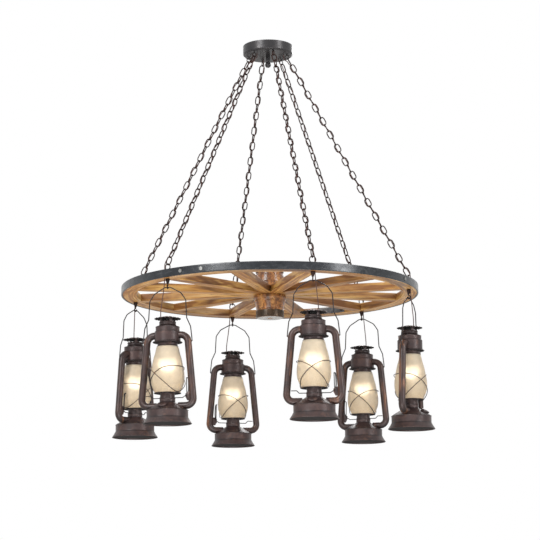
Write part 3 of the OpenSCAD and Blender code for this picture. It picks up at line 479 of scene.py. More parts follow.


# Sawn board: growth lines, broad streaks and dark pores drawn out along the grain, with painted shade
# darkening its sides. Mottled adds round dark clouds, and endFace is (distance along the grain, colour) of
# bare ends.
def woodFinish(name, pale, honey, brown, deep, gloss=(0.38, 0.55), coat=0.0, lineScale=24.0, side=0.6,
        lined=1.0, mottled=0.0, endFace=None):
    material, tree, shader = newFinish(name)
    own = ownPlace(tree)
    lines = addNode(tree, "TexWave", {"Vector": stretched(tree, own, (1.0, 0.09, 1.0)), "Scale": lineScale,
        "Distortion": 9.0, "Detail": 3.0, "Detail Scale": 1.6, "Detail Roughness": 0.62},
        wave_type="BANDS", bands_direction="X").outputs["Fac"]
    broad = cloud(tree, stretched(tree, own, (1.0, 0.12, 1.0)), 38, 4, 0.55, 0.6)
    fibre = cloud(tree, stretched(tree, own, (1.0, 0.03, 1.0)), 700, 3, 0.6)
    tone = ramp(tree, broad, [(0.33, pale), (0.5, honey), (0.67, brown)])
    lineShare = ramp(tree, lines, [(0.25, 0.0), (0.6, 0.3 * lined), (0.9, lined)])
    tone = blendColours(tree, lineShare, tone, brown)
    streaks = cloud(tree, stretched(tree, own, (1.0, 0.16, 1.0)), 17, 2, 0.5, 1.2)
    tone = blendColours(tree, ramp(tree, streaks, [(0.55, 0.0), (0.7, 0.85)]), tone, deep)
    if mottled:
        blots = ramp(tree, cloud(tree, own, 70, 4, 0.6, 1.0), [(0.42, 0.0), (0.64, mottled)])
        tone = blendColours(tree, blots, tone, deep)
    tone = blendColours(tree, ramp(tree, fibre, [(0.3, 0.55), (0.44, 0.0)]), tone, deep)
    boardTone = ramp(tree, cloud(tree, own, 0.9, 0), [(0.3, (0.66, 0.58, 0.52)), (0.5, (0.95, 0.93, 0.9)),
        (0.7, (1.12, 1.06, 0.92))])
    tone = blendColours(tree, 1.0, tone, boardTone, "MULTIPLY")
    # painted shade: faces that look sideways take the share side of the tone
    level = maths(tree, "ABSOLUTE", facingUp(tree))
    tone = blendColours(tree, 1.0, tone, ramp(tree, level, [(0.25, side), (0.75, 1.0)]), "MULTIPLY")
    if endFace:
        along = maths(tree, "ABSOLUTE", axisOf(tree, own, "Y"))
        tone = blendColours(tree, maths(tree, "GREATER_THAN", along, endFace[0] * mm), tone, endFace[1])
    tree.links.new(tone, shader.inputs["Base Color"])
    tree.links.new(ranged(tree, broad, 0.3, 0.7, *gloss), shader.inputs["Roughness"])
    shader.inputs["Specular IOR Level"].default_value = 0.35
    shader.inputs["Coat Weight"].default_value = coat
    shader.inputs["Coat Roughness"].default_value = 0.16
    pores = addBump(tree, shader, fibre, 0.00025, 0.8)
    addBump(tree, shader, lines, 0.0003, 0.5, pores)
    return material


boltLook = {"zincFrom": 0.52, "zincDark": (0.14, 0.14, 0.135), "zincPale": (0.34, 0.34, 0.33),
    "plateDark": (0.045, 0.045, 0.05), "platePale": (0.12, 0.11, 0.1), "metallic": 0.85}


# Zinc bolts outside the tyre, blackened plates inside it, told apart by their distance from the axis.
def boltFinish():
    b = boltLook
    material, tree, shader = newFinish("boltsAndPlates")
    place = objectPlace(tree)
    away = addNode(tree, "VectorMath", {0: stretched(tree, place, (1, 1, 0))}, operation="LENGTH")
    outside = maths(tree, "GREATER_THAN", away.outputs["Value"], b["zincFrom"])
    zinc = ramp(tree, cloud(tree, place, 320, 4), [(0.35, b["zincDark"]), (0.7, b["zincPale"])])
    plate = ramp(tree, cloud(tree, place, 120, 4), [(0.35, b["plateDark"]), (0.7, b["platePale"])])
    tree.links.new(blendColours(tree, outside, plate, zinc), shader.inputs["Base Color"])
    shader.inputs["Metallic"].default_value = b["metallic"]
    roughness = ramp(tree, cloud(tree, place, 200, 4), [(0.3, 0.28), (0.7, 0.5)])
    tree.links.new(roughness, shader.inputs["Roughness"])
    addBump(tree, shader, cloud(tree, place, 700, 3), 0.00008)
    return material


cordLook = {"dark": (0.022, 0.008, 0.006), "pale": (0.085, 0.034, 0.026), "strands": 190.0, "roughness": 0.62,
    "relief": 0.0002}


# Braided cover: the greater of two crossed waves along the cord's own run.
def cordFinish():
    c = cordLook
    material, tree, shader = newFinish("braidedCordCover")
    run = addNode(tree, "UVMap", uv_map="run").outputs[0]
    ways = [addNode(tree, "TexWave", {"Vector": vector, "Scale": c["strands"]}, wave_type="BANDS",
        bands_direction="DIAGONAL").outputs["Fac"] for vector in (run, stretched(tree, run, (-1, 1, 1)))]
    weave = maths(tree, "MAXIMUM", *ways)
    tree.links.new(ramp(tree, weave, [(0.2, c["dark"]), (0.95, c["pale"])]), shader.inputs["Base Color"])
    shader.inputs["Roughness"].default_value = c["roughness"]
    addBump(tree, shader, weave, c["relief"])
    return material


glassLook = {"stippleFrom": -1.25, "stippleFull": -1.325, "creamDark": (0.55, 0.475, 0.36),
    "creamPale": (0.66, 0.575, 0.45), "amberDark": (0.45, 0.34, 0.21), "amberPale": (0.70, 0.60, 0.445),
    "roughness": 0.5, "index": 1.3, "through": 0.5, "glow": (1.0, 0.90, 0.76, 1.0), "glowStrength": 0.05,
    "seeds": 420.0, "relief": 0.0003}


# Frosted cream glass: rough see-through body, seedy stipple that thickens low down, and a faint glow.
def glassFinish():
    g = glassLook
    material, tree, shader = newFinish("frostedCreamGlass")
    place = objectPlace(tree)
    low = ranged(tree, axisOf(tree, place, "Z"), g["stippleFrom"], g["stippleFull"])
    cream = ramp(tree, cloud(tree, place, 60, 4, 0.6), [(0.3, g["creamDark"]), (0.7, g["creamPale"])])
    stipple = cloud(tree, place, g["seeds"], 3, 0.7)
    amber = ramp(tree, stipple, [(0.38, g["amberDark"]), (0.62, g["amberPale"])])
    tree.links.new(blendColours(tree, low, cream, amber), shader.inputs["Base Color"])
    shader.inputs["Roughness"].default_value = g["roughness"]
    shader.inputs["IOR"].default_value = g["index"]
    shader.inputs["Transmission Weight"].default_value = g["through"]
    shader.inputs["Emission Color"].default_value = g["glow"]
    shader.inputs["Emission Strength"].default_value = g["glowStrength"]
    seeds = addNode(tree, "TexVoronoi", {"Vector": place, "Scale": g["seeds"]}).outputs["Distance"]
    addBump(tree, shader, seeds, g["relief"], 0.5)
    return material


bulbLook = {"coolAt": -1.203, "hotAt": -1.238, "coolShare": 0.04, "strength": 9.5,
    "light": (1.0, 0.95, 0.87, 1.0), "opal": (0.92, 0.88, 0.8, 1.0), "roughness": 0.4}


# Lit opal bulb: brightest where the filament sits, cooler toward its neck.
def bulbFinish():
    b = bulbLook
    material, tree, shader = newFinish("litBulb")
    place = objectPlace(tree)
    share = ranged(tree, axisOf(tree, place, "Z"), b["coolAt"], b["hotAt"], b["coolShare"], 1.0)
    shimmer = ranged(tree, cloud(tree, place, 90, 2), 0.0, 1.0, 0.9, 1.1)
    strength = maths(tree, "MULTIPLY", maths(tree, "MULTIPLY", share, shimmer), b["strength"])
    tree.links.new(strength, shader.inputs["Emission Strength"])
    shader.inputs["Emission Color"].default_value = b["light"]
    shader.inputs["Base Color"].default_value = b["opal"]
    shader.inputs["Roughness"].default_value = b["roughness"]
    return material


# Pressed ceramic of the lamp holder, in soft clouds.
def creamFinish():
    material, tree, shader = newFinish("ceramicCream")
    place = objectPlace(tree)
    tone = ramp(tree, cloud(tree, place, 90, 4), [(0.3, (0.55, 0.5, 0.4)), (0.7, (0.72, 0.67, 0.56))])
    tree.links.new(tone, shader.inputs["Base Color"])
    shader.inputs["Roughness"].default_value = 0.38
    addBump(tree, shader, cloud(tree, place, 500, 3), 0.0001)
    return material


finish = {
    "lantern": metalFinish("bronzePaint", (0.034, 0.023, 0.023), (0.062, 0.037, 0.034), (0.15, 0.075, 0.05),
        # painted shade: faces that look down keep 0.12 of the tone
        0.4, metallic=0.2, rough=(0.32, 0.46), specular=0.35, undersideShade=0.12,
        # heights of painted shade in the corners of the hood, guard and fount
        corners=[(-18.5, 2), (-26.8, 1.8), (-45.6, 1.4), (-79.5, 2), (-272, 2), (-283.5, 2.5), (-309.5, 2),
            (-337, 4)]),
    # rubbed copper streaks, made stronger as a painted reflection of the globe's glow on the tubes
    "tube": metalFinish("bronzePaintRubbedAndGlow", (0.032, 0.022, 0.022), (0.060, 0.034, 0.029),
        (0.32, 0.14, 0.07), 0.7, metallic=0.2, rough=(0.28, 0.42), streak=(1.0, 1.0, 0.12), specular=0.35,
        # painted shade: faces that look down keep 0.4 of the tone
        undersideShade=0.4),
    "canopy": metalFinish("canopyBronze", (0.026, 0.025, 0.027), (0.040, 0.037, 0.038),
        (0.075, 0.06, 0.055), 0.2, metallic=0.3, rough=(0.25, 0.4), specular=0.35),
    "iron": metalFinish("blackIron", (0.012, 0.006, 0.005), (0.032, 0.014, 0.011), (0.12, 0.048, 0.03), 0.3,
        metallic=0.1, rough=(0.4, 0.55), specular=0.15),
    "wire": metalFinish("bailWire", (0.010, 0.008, 0.009), (0.020, 0.013, 0.013), (0.06, 0.035, 0.03), 0.3,
        metallic=0.2, rough=(0.3, 0.45), specular=0.3),
    "tyre": metalFinish("rolledTyreIron", (0.006, 0.008, 0.011), (0.020, 0.023, 0.028),
        (0.12, 0.125, 0.13), 0.3, metallic=0.2, rough=(0.2, 0.32), streak=(1.0, 1.0, 2.5), grit=0.00005),
    "band": metalFinish("hubBandIron", (0.030, 0.022, 0.014), (0.085, 0.050, 0.028), (0.3, 0.2, 0.12), 0.35,
        metallic=0.6, rough=(0.22, 0.38)),
    "felloe": woodFinish("felloeWood", (0.78, 0.52, 0.22), (0.62, 0.34, 0.105), (0.33, 0.14, 0.036),
        (0.12, 0.045, 0.014)),
    "spoke": woodFinish("spokeWood", (0.76, 0.47, 0.165), (0.58, 0.30, 0.08), (0.29, 0.115, 0.027),
        (0.085, 0.032, 0.011)),
    "hub": woodFinish("hubWood", (0.62, 0.31, 0.10), (0.42, 0.17, 0.045), (0.19, 0.062, 0.015),
        (0.06, 0.020, 0.008), gloss=(0.16, 0.3), coat=0.4, lineScale=11.0, side=1.0, lined=0.45, mottled=0.75,
        endFace=(94.6, (0.30, 0.275, 0.25))),
    "bolts": boltFinish(),
    "cord": cordFinish(),
    "glass": glassFinish(),
    "bulb": bulbFinish(),
    "cream": creamFinish(),
}
print("finishes ready")


def dressNode(name, material):
    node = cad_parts[name]
    if not node.material_slots:
        node.data.materials.append(material)
    for slot in node.material_slots:
        slot.material = material


# Chains

chainSize = {"wire": 3.5, "width": 21.0, "links": 32, "loopRing": 72.0, "loopZ": -46.0, "eyeTopZ": -880.95,
    "firstDrop": 4.7, "play": 0.1, "sides": 8, "bendSteps": 5, "weldSwell": 0.10, "weldLength": 2.2,
    "roll": 2.5, "forged": 0.3, "eyeWire": 1.75, "eyeGap": 0.05, "crease": 80}

chainStart = np.array([0.0, -chainSize["loopRing"], chainSize["loopZ"]])
chainEnd = np.array([0.0, -layout["shankRing"], chainSize["eyeTopZ"]])
chainLean = math.degrees(math.atan2(chainStart[1] - chainEnd[1], chainStart[2] - chainEnd[2]))
chainSeat = chainSize["eyeWire"] + chainSize["wire"] / 2 + chainSize["eyeGap"]
chainRun = np.linalg.norm(chainEnd - chainStart) + chainSeat
linkPitch = (chainRun - chainSize["firstDrop"] - chainSize["wire"] - chainSize["play"]) / chainSize["links"]
linkLength = linkPitch + chainSize["wire"] + chainSize["play"]


def linkMiddle(k):
    return chainSize["firstDrop"] + linkLength / 2 + (k - 1) * linkPitch


# Racetrack wire: two straights joined by half circles, thicker by exp(-(z/length)2) at its weld. Forged
# is how far the worn wire stands out past its drawn radius.
def linkSurface():
    bend = (chainSize["width"] - chainSize["wire"]) / 2
    half = linkLength / 2 - bend
    a = np.radians(np.linspace(0, 180, chainSize["bendSteps"]))
    top = np.stack([bend * np.cos(a), 0 * a, half + bend * np.sin(a)], -1)
    path = np.vstack([top, [[-bend, 0, 0]], -top, [[bend, 0, 0]]])
    weld = np.where(path[:, 0] > bend * 0.98, np.exp(-(path[:, 2] / chainSize["weldLength"]) ** 2), 0)
    radius = (chainSize["wire"] / 2 + chainSize["forged"]) * (1 + chainSize["weldSwell"] * weld)
    return sweep(path, radius, chainSize["sides"], (0, 1, 0), closed=True)


# Links at their pitch down the chain's line, each a quarter turn on from the last and a little rolled.
def addChain(i):
    link = linkSurface()["points"]
    links = []
    for k in range(1, chainSize["links"] + 1):
        roll = (90 if k % 2 == 0 else 0) + chance.uniform(-1, 1) * chainSize["roll"]
        placed = turnAboutZ(link, roll) - [0, 0, linkMiddle(k)]
        placed = turnAboutX(placed, -chainLean) + chainStart
        links.append(surface(turnAboutZ(placed, sectorAngle(i)), closeAlong=True))
    mesh = makeMesh(f"chainLinks_{i}", links, chainSize["crease"])
    addPiece(f"chainLinks_{i}", mesh, finish["iron"], "wheel", f"chain_{i}")


for lantern in range(1, layout["lanterns"] + 1):
    addChain(lantern)
print("chains ready")


# Cords

cordSize = {"diameter": 3.2, "sides": 12, "side": (0.37, 0.93, 0.05), "windingRadius": 5.05,
    "felloeHalf": 13.5, "holeOffset": 10.5, "bowedOffset": 16.0, "bow": 6,
    # heights of a drop cord's span at the bail, of the cut that splits it in two, and of its span at the
    # lantern
    "bailBend": (-936, -995), "splitZ": -1008.0, "lanternBend": (-1018, -1062)}


# Point of a sector by its distance along the chain line, outward of it and beside it.
def besideChain(along, outward, sideways):
    lean = math.radians(chainLean)
    return chainStart + [sideways, -along * math.sin(lean) - outward * math.cos(lean),
        -along * math.cos(lean) + outward * math.sin(lean)]


# Point beside a shank by its (outward, sideways) offset and its height from the wheel's middle.
def beside(offset, z):
    return np.array([offset[1], -layout["shankRing"] - offset[0], layout["wheelZ"] + z])


# From the canopy the cord winds a quarter turn a link round the chain, outward r cos t and sideways r sin
# t, and drops into the felloe's hole.
def lampCordRoute(i):
    angle = math.radians(layout["cordYaw"][i - 1] + 90 - sectorAngle(i))
    low = cordSize["holeOffset"] * np.array([math.cos(angle), math.sin(angle)])
    bowed = i == layout["bowedCord"]
    high = np.array([cordSize["bowedOffset"], 0.0]) if bowed else low
    way = -1 if high[1] > 0 else 1
    start = [[0, -48, -18.2], [0, -58, -27.2], [0, -58, -40.2], [way * 3, -62.5, -54],
        besideChain(linkMiddle(1) - 8, -7, way * 4.5), besideChain(linkMiddle(1) + 3, -6.2, way * 4.4)]
    ks = np.concatenate([[1.5], np.arange(5, 3 * chainSize["links"] - 2) / 3, [chainSize["links"] - 0.6]])
    turns = [besideChain(linkMiddle(k), cordSize["windingRadius"] * math.cos(t),
        cordSize["windingRadius"] * math.sin(t)) for k, t in zip(ks, np.radians(180 + way * 90 * (ks - 2)))]
    bow = cordSize["bow"] if bowed else 0
    top = cordSize["felloeHalf"]
    end = [beside((high[0] * 0.35 - 2.5 + bow, -way * 5.2), 51 + bow),
        beside((high[0] * 0.95, -way * max(abs(high[1]) * 0.9, 4.4)), 36),
        beside(high, top + 9), beside(high, top - 2), beside(low, -top + 3)]
    return turnAboutZ(smoothCurve(start + turns + end, 4), sectorAngle(i))


# Below the felloe the cord hangs out past the lantern's cap disc, enters the cap and ends on the lamp.
def dropCordRoute(i):
    points = [(10.5, -10.6), (11, -25.5), (13.5, -49), (18.5, -86.92), (22.5, -113.92), (24, -129.92),
        (24, -145.92), (24, -161.92), (19.92, -175.92), (9.6, -187.42), (1.92, -191.92), (0, -197.82)]
    curve = smoothCurve([[r, 0, z + layout["wheelZ"]] for r, z in points], 8)
    return turnAboutZ(curve, layout["cordYaw"][i - 1]) + shankPlace(i)


def addCord(name, route, body, node):
    mesh = makeMesh(name, [sweep(route, cordSize["diameter"] / 2, cordSize["sides"], cordSize["side"])])
    piece = addPiece(name, mesh, finish["cord"], body, node)
    return piece


def addCords(i):
    addCord(f"lampCord_{i}", lampCordRoute(i), "wheel", "lamp_cords")
    route = dropCordRoute(i)
    split = int(np.argmin(np.abs(route[:, 2] - cordSize["splitZ"])))
    upper = addCord(f"dropCordUpper_{i}", route[:split + 1], None, "drop_cords")
    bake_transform(upper)
    lower = addCord(f"dropCordLower_{i}", route[split:], None, "drop_cords")
    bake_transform(lower)


for lantern in range(1, layout["lanterns"] + 1):
    addCords(lantern)
print("cords ready")


# Wheel

wheelSize = {
    "tyreOut": 533.5, "tyreIn": 528.5, "tyreHalf": 14.0, "tyreEase": 1.1,
    "felloeOut": 528.45, "felloeIn": 478.45, "felloeHalf": 13.5, "felloeEase": 3.2,
    "jointAngle": -29.9, "jointGap": 0.4,
    "spokes": 12, "spokeHalfWide": 21.0, "spokeHalfHigh": 13.0, "spokeEase": 2.4, "spokeOut": 478.4,
    "spokeIn": 50.3, "mitreGap": 0.4,
}


# Rectangle with eased edges, its long sides divided so that the surface can bend.
def boardOutline(halfWide, halfHigh, ease, step):
    corners = [(-halfWide, -halfHigh), (halfWide, -halfHigh), (halfWide, halfHigh), (-halfWide, halfHigh)]
    return densify(roundCorners(corners, ease, 4, closed=True), step, closed=True)


# A flat bar with eased edges, carried round the axis.
def addTyre():
    w = wheelSize
    thick = (w["tyreOut"] - w["tyreIn"]) / 2
    section = boardOutline(thick, w["tyreHalf"], w["tyreEase"], 4) + [(w["tyreOut"] + w["tyreIn"]) / 2, 0]
    ring = turned(section + [0, layout["wheelZ"]], 540, closed=True)
    addPiece("ironTyre", makeMesh("ironTyre", [ring]), finish["tyre"], "wheel", "tyre")


# Each half is a board section carried through half a turn; its grain runs with the bend.
def addFelloes():
    w = wheelSize
    middle = (w["felloeOut"] + w["felloeIn"]) / 2
    section = boardOutline((w["felloeOut"] - w["felloeIn"]) / 2, w["felloeHalf"], w["felloeEase"], 5)
    trim = math.degrees(w["jointGap"] / 2 / middle)
    for half in (1, 2):
        first = w["jointAngle"] + 180 * (half - 1)
        angles = np.linspace(first + trim, first + 180 - trim, 181)
        points = swept(section + [middle, layout["wheelZ"]], angles)
        along = np.radians(np.concatenate([angles[:1], angles, angles[-1:]]))[:, None] * middle
        grain = np.stack([np.hypot(points[..., 0], points[..., 1]) - middle + 700 * half,
            np.repeat(along, len(section), 1), points[..., 2] - layout["wheelZ"]], -1)
        mesh = makeMesh(f"bentFelloe_{half}", [surface(points, grain=grain)])
        addPiece(mesh.name, mesh, finish["felloe"], "wheel", "felloes")


# Board from the hub's waist to the felloe; its half width is the lesser of the board's and the mitre's,
# (run - apex) tan(wedge). Each board's grain starts at its own place and runs a little askew.
def spokeSurface(k):
    w = wheelSize
    section = boardOutline(w["spokeHalfWide"], w["spokeHalfHigh"], w["spokeEase"], 4.5)
    wedge = math.pi / w["spokes"]
    apex = w["mitreGap"] / 2 / math.sin(wedge)
    share = np.concatenate([np.linspace(0, 0.09, 10), np.linspace(0.1, 1, 46)])[:, None]
    run = w["spokeIn"] * math.cos(wedge) + share * (w["spokeOut"] - w["spokeIn"])
    half = np.minimum(w["spokeHalfWide"], (run - apex) * math.tan(wedge))
    x = section[None, :, 0] * half / w["spokeHalfWide"]
    near, far = np.sqrt(w["spokeIn"] ** 2 - x ** 2), np.sqrt(w["spokeOut"] ** 2 - x ** 2)
    y = near + share * (far - near)
    z = np.repeat(section[None, :, 1], len(share), 0)
    own = closeEnds(np.stack([x, -y, z], -1))
    shift = chance.uniform(-1, 1, 3) * [900, 4000, 900]
    tilt = chance.uniform(-0.05, 0.05)
    grain = np.stack([own[..., 0] + own[..., 1] * tilt, own[..., 1], own[..., 2]], -1) + shift
    turn = layout["firstAngle"] + k * 360 / w["spokes"]
    return surface(turnAboutZ(own, turn) + [0, 0, layout["wheelZ"]], grain=grain)


def addSpokes():
    for k in range(wheelSize["spokes"]):
        name = f"boardSpoke_{k + 1}"
        addPiece(name, makeMesh(name, [spokeSurface(k)]), finish["spoke"], "wheel", "spokes")


hubSize = {"half": 95.0, "bore": 9.0, "endRadius": 48.0, "neckHeight": 69.0, "shoulder": 58.5,
    "shoulderTop": 23.2, "slot": 13.2, "waist": 50.0, "grooves": [61.0, 33.0], "grooveDepth": 0.9,
    "grooveWidth": 1.1, "bandIn": 48.05, "bandOut": 50.55, "bandTop": 94.0, "bandLow": 69.0}


# Turned block: eased shoulders and two cut grooves a side, where the radius loses depth exp(-(z/width)2).
def addHub():
    h = hubSize
    half = [(h["bore"], h["half"]), (h["endRadius"], h["half"]), (h["endRadius"], h["neckHeight"]),
        (h["shoulder"], h["shoulderTop"]), (h["shoulder"], h["slot"]), (h["waist"], h["slot"])]
    corners = half + [(r, -z) for r, z in reversed(half)]
    bends = [1.5, 2.5, 5, 6, 1.5, 0.4]
    outline = densify(roundCorners(corners, bends + bends[::-1], 5, closed=True), 1.2, closed=True)
    height = np.abs(outline[:, 1])
    cut = sum(h["grooveDepth"] * np.exp(-((height - g) / h["grooveWidth"]) ** 2) for g in h["grooves"])
    outline[:, 0] -= np.where(outline[:, 0] > h["waist"] - 4, cut, 0)
    hub = turned(outline + [0, layout["wheelZ"]], 128, closed=True)
    p = hub["points"]
    hub["grain"] = np.stack([p[..., 0], p[..., 2] - layout["wheelZ"], p[..., 1]], -1)
    addPiece("turnedHub", makeMesh("turnedHub", [hub]), finish["hub"], "wheel", "hub")
    section = boardOutline((h["bandOut"] - h["bandIn"]) / 2, (h["bandTop"] - h["bandLow"]) / 2, 0.8, 4)
    bands = [turned(section + [(h["bandOut"] + h["bandIn"]) / 2,
        layout["wheelZ"] + side * (h["bandTop"] + h["bandLow"]) / 2], 128, closed=True) for side in (1, -1)]
    addPiece("hubRings", makeMesh("hubRings", bands), finish["band"], "wheel", "hub_bands")


addTyre()
addFelloes()
addSpokes()
addHub()
dressNode("splice_hardware", finish["bolts"])
dressNode("eye_hooks", finish["iron"])
print("wheel ready")


# Canopy

canopySize = {"radius": 91.5, "height": 35.2, "edge": 7.0, "sheet": 1.5, "stemHole": 5.05}


# Shallow pan: its outer and inner outlines, a sheet's thickness apart, carried round the axis.
def addCanopy():
    c = canopySize
    side, floor = c["radius"], -c["height"]
    outer = roundCorners([(side, 0), (side, floor), (c["stemHole"], floor)], c["edge"], 12)
    side, floor = side - c["sheet"], floor + c["sheet"]
    inner = roundCorners([(c["stemHole"], floor), (side, floor), (side, 0)], c["edge"] - c["sheet"], 10)
    pan = turned(densify(np.vstack([outer, inner]), 4, closed=True), 160, closed=True)
    addPiece("canopyPan", makeMesh("canopyPan", [pan]), finish["canopy"], "wheel", "canopy")


addCanopy()
dressNode("ceiling_mount", finish["canopy"])
dressNode("canopy_loops", finish["iron"])
print("canopy ready")


# Lanterns: each shape is made once, in its own frame

hoodSize = {
    "capRadius": 45.0, "capRise": 8.0, "capFlat": 12.0, "capRim": 13.0, "capDish": 0.6, "capSheet": 1.0,
    "ruffles": 10, "ruffleHigh": 1.7, "ruffleMiddle": 23.0, "ruffleWide": 6.5,
    "scallops": 20, "scallopHigh": 0.8, "scallopWide": 9.0,
    "neck": 28.0, "neckZ": -11.0, "drum": 40.5, "drumZ": -27.0, "chamber": 44.0, "chamberZ": -44.5,
    "flangeZ": -80.6, "flange": 50.5, "flangeThick": 2.0, "flangeHole": 34.3, "sheet": 1.0,
    "legs": 4, "legHalf": 12.0, "legRadius": 27.0, "legSheet": 1.1, "legTop": 0.4, "legSeat": 8.0,
    # each bead on the hood's side: height, how far it stands out, half width
    "beads": [(-14.5, 1.3, 1.1), (-22.0, 1.5, 1.5), (-29.0, 0.9, 1.0), (-43.2, 0.9, 1.0), (-77.5, 0.8, 1.2)],
    "beadMost": 1.8,
}


# Spun disc: height rises to its middle, with a ring of ruffles, high cos(n a) exp(-((r - middle)/wide)2),
# and a scalloped rim, high cos(n a) times the square of the share of the rim's width.
def capSurface():
    h = hoodSize
    r, rise = h["capRadius"], h["capRise"]
    top = np.array([(0, rise), (h["capFlat"], rise), (r - h["capRim"], h["capDish"]), (r, 0)])
    low = (top - [0, h["capSheet"]])[::-1]
    upper, lower = roundCorners(top, [0, 4, 8, 0], 5), roundCorners(low, [0, 8, 4, 0], 5)
    outline = densify(np.vstack([upper, lower]), 1.3)
    disc = turned(outline, 160)
    p = disc["points"]
    away, angle = np.hypot(p[..., 0], p[..., 1]), np.arctan2(p[..., 1], p[..., 0])
    swell = np.exp(-((away - h["ruffleMiddle"]) / h["ruffleWide"]) ** 2)
    rim = np.clip((away - r + h["scallopWide"]) / h["scallopWide"], 0, 1) ** 2
    p[..., 2] += h["ruffleHigh"] * np.cos(h["ruffles"] * angle) * swell
    p[..., 2] += h["scallopHigh"] * np.cos(h["scallops"] * angle) * rim
    return disc


# Curved plate: a rectangle of radius and height carried through a small angle.
def arcPlate(inner, outer, low, high, middle, half):
    corners = [(inner, low), (outer, low), (outer, high), (inner, high)]
    return surface(swept(corners, np.linspace(middle - half, middle + half, 9)))


# Neck, drum and chamber in one stepped outline carried round Z, each bead adding size exp(-(z/wide)2) to
# its radius, with the flange below, the legs in the neck and the cap disc on them.
def hoodMesh():
    h = hoodSize
    t = h["sheet"]
    steps = np.array([(h["neck"], h["neckZ"]), (h["neck"], h["drumZ"]), (h["drum"], h["drumZ"]),
        (h["drum"], h["chamberZ"]), (h["chamber"], h["chamberZ"]), (h["chamber"], h["flangeZ"])])
    outer = densify(roundCorners(steps, [0, 1.2, 3.0, 0.8, 1.6, 0], 5), 0.7)
    out = sum(size * np.exp(-((outer[:, 1] - z) / wide) ** 2) for z, size, wide in h["beads"])
    outer[:, 0] += np.minimum(out, h["beadMost"])
    inner = (steps - [(t, 0), (t, t), (t, t), (t, t), (t, t), (t, 0)])[::-1]
    shell = turned(np.vstack([outer, inner]), 128, closed=True)
    rim, hole, top, low = h["flange"], h["flangeHole"], h["flangeZ"], h["flangeZ"] - h["flangeThick"]
    flange = roundCorners([(hole, top), (rim, top + 0.6), (rim, low), (hole, low)], [0.3, 1.1, 1.1, 0.3], 4,
        closed=True)
    flange = turned(densify(flange, 3, closed=True), 128, closed=True)
    legs = [arcPlate(h["legRadius"] - h["legSheet"], h["legRadius"], h["neckZ"] - h["legSeat"], h["legTop"],
        45 + 360 / h["legs"] * k, h["legHalf"]) for k in range(h["legs"])]
    return makeMesh("hood", [capSurface(), shell, flange, *legs])


tubeSize = {"radius": 12.0, "start": 43.2, "topX": 71.4, "topZ": -57.0, "lowX": 94.3, "lowZ": -297.8,
    "lowEnd": 40.0, "topBend": 27.0, "lowBend": 24.0,
    "earZ": -80.0, "earIn": 82.0, "earOut": 86.5, "earRadius": 4.0, "earHole": 1.58}


# Bent air tube from the hood's side to the fount's shoulder, with the ear that carries the bail: a boss
# turned about Z and laid along X. Side is 1 for the lever's tube and -1 for the other.
def tubeSurfaces(side):
    t = tubeSize
    corners = [(t["start"], 0, t["topZ"]), (t["topX"], 0, t["topZ"]), (t["lowX"], 0, t["lowZ"]),
        (t["lowEnd"], 0, t["lowZ"])]
    path = densify(roundCorners(corners, [0, t["topBend"], t["lowBend"], 0], 14), 8)
    ear = roundCorners([(t["earHole"], t["earIn"]), (t["earRadius"], t["earIn"]),
        (t["earRadius"], t["earOut"]), (t["earHole"], t["earOut"])], [0, 0.8, 0.8, 0], 4, closed=True)
    boss = turned(ear, 32, closed=True)["points"]
    boss = np.stack([boss[..., 2], boss[..., 1], boss[..., 0] + t["earZ"]], -1)
    return [surface(sweep(path * [side, 1, 1], t["radius"], 36, (0, 1, 0))["points"]),
        surface(boss * [side, 1, 1], closeAlong=True)]


bracketSize = {
    # corners of the plate as (x, z), and the bend at each
    "corners": [(63.4, -268.0), (70.0, -280.5), (80.5, -281.0), (79.6, -250.5), (72.0, -250.5),
        (63.4, -257.0)],
    "bends": [4, 3, 0.3, 0.3, 3, 3.5],
    # rows through its thickness: y, and the share of the outline's size
    "rows": [(1.6, 0.925), (1.9, 1.0), (3.1, 1.0), (3.4, 0.925)],
}


# Lug on the lever tube's inner side that holds the lever's pivot: one outline, drawn in at both faces.
def bracketSurface():
    outline = roundCorners(bracketSize["corners"], bracketSize["bends"], 6, closed=True)
    middle = outline.mean(0)
    across, share = (np.array(v)[:, None] for v in zip(*bracketSize["rows"]))
    x, z = (middle[k] + (outline[None, :, k] - middle[k]) * share for k in (0, 1))
    return surface(closeEnds(np.stack([x, np.repeat(across, len(outline), 1), z], -1)))


fountSize = {
    "topZ": -284.0, "cup": 26.5, "shoulder": 66.7, "shoulderZ": -309.0, "side": 69.8, "sideZ": -335.0,
    "flare": (75.0, -345.0), "base": 82.4, "baseZ": -356.3, "lip": 1.7, "floorZ": -354.0, "beadZ": -312.0,
    "bead": 1.2, "cupRim": -268.0, "sheet": 1.0, "notchHalf": 1.75, "notchZ": -272.2,
    "fillerRadius": 16.0, "fillerHigh": 7.0, "fillerFlutes": 20, "fillerDepth": 0.45,
}


# Tank turned in one outline: sloping shoulder, bead, upright side, flared base with a rolled lip. The
# bead adds size exp(-z2) to the radius.
def fountSurface():
    f = fountSize
    upper = roundCorners([(0, f["topZ"]), (f["cup"], f["topZ"]), (f["shoulder"], f["shoulderZ"]),
        (f["side"], f["beadZ"]), (f["side"], f["sideZ"]), f["flare"],
        (f["base"] - f["lip"] * 0.6, f["baseZ"] + f["lip"])], [0, 2, 5, 2, 6, 8, 0], 7)
    upper = densify(upper, 1.0)
    swell = f["bead"] * np.exp(-((upper[:, 1] - f["beadZ"]) / 1.0) ** 2)
    upper[:, 0] += np.where(upper[:, 0] > f["shoulder"] - 1, swell, 0)
    a = np.radians(np.linspace(60, -180, 12))
    lip = np.stack([f["base"] - f["lip"] + f["lip"] * np.cos(a), f["baseZ"] + f["lip"] * np.sin(a)], -1)
    under = [(r, f["floorZ"]) for r in (f["base"] - 2 * f["lip"] - 0.4, 60, 30, 0)]
    return turned(np.vstack([upper, lip, under]), 144)


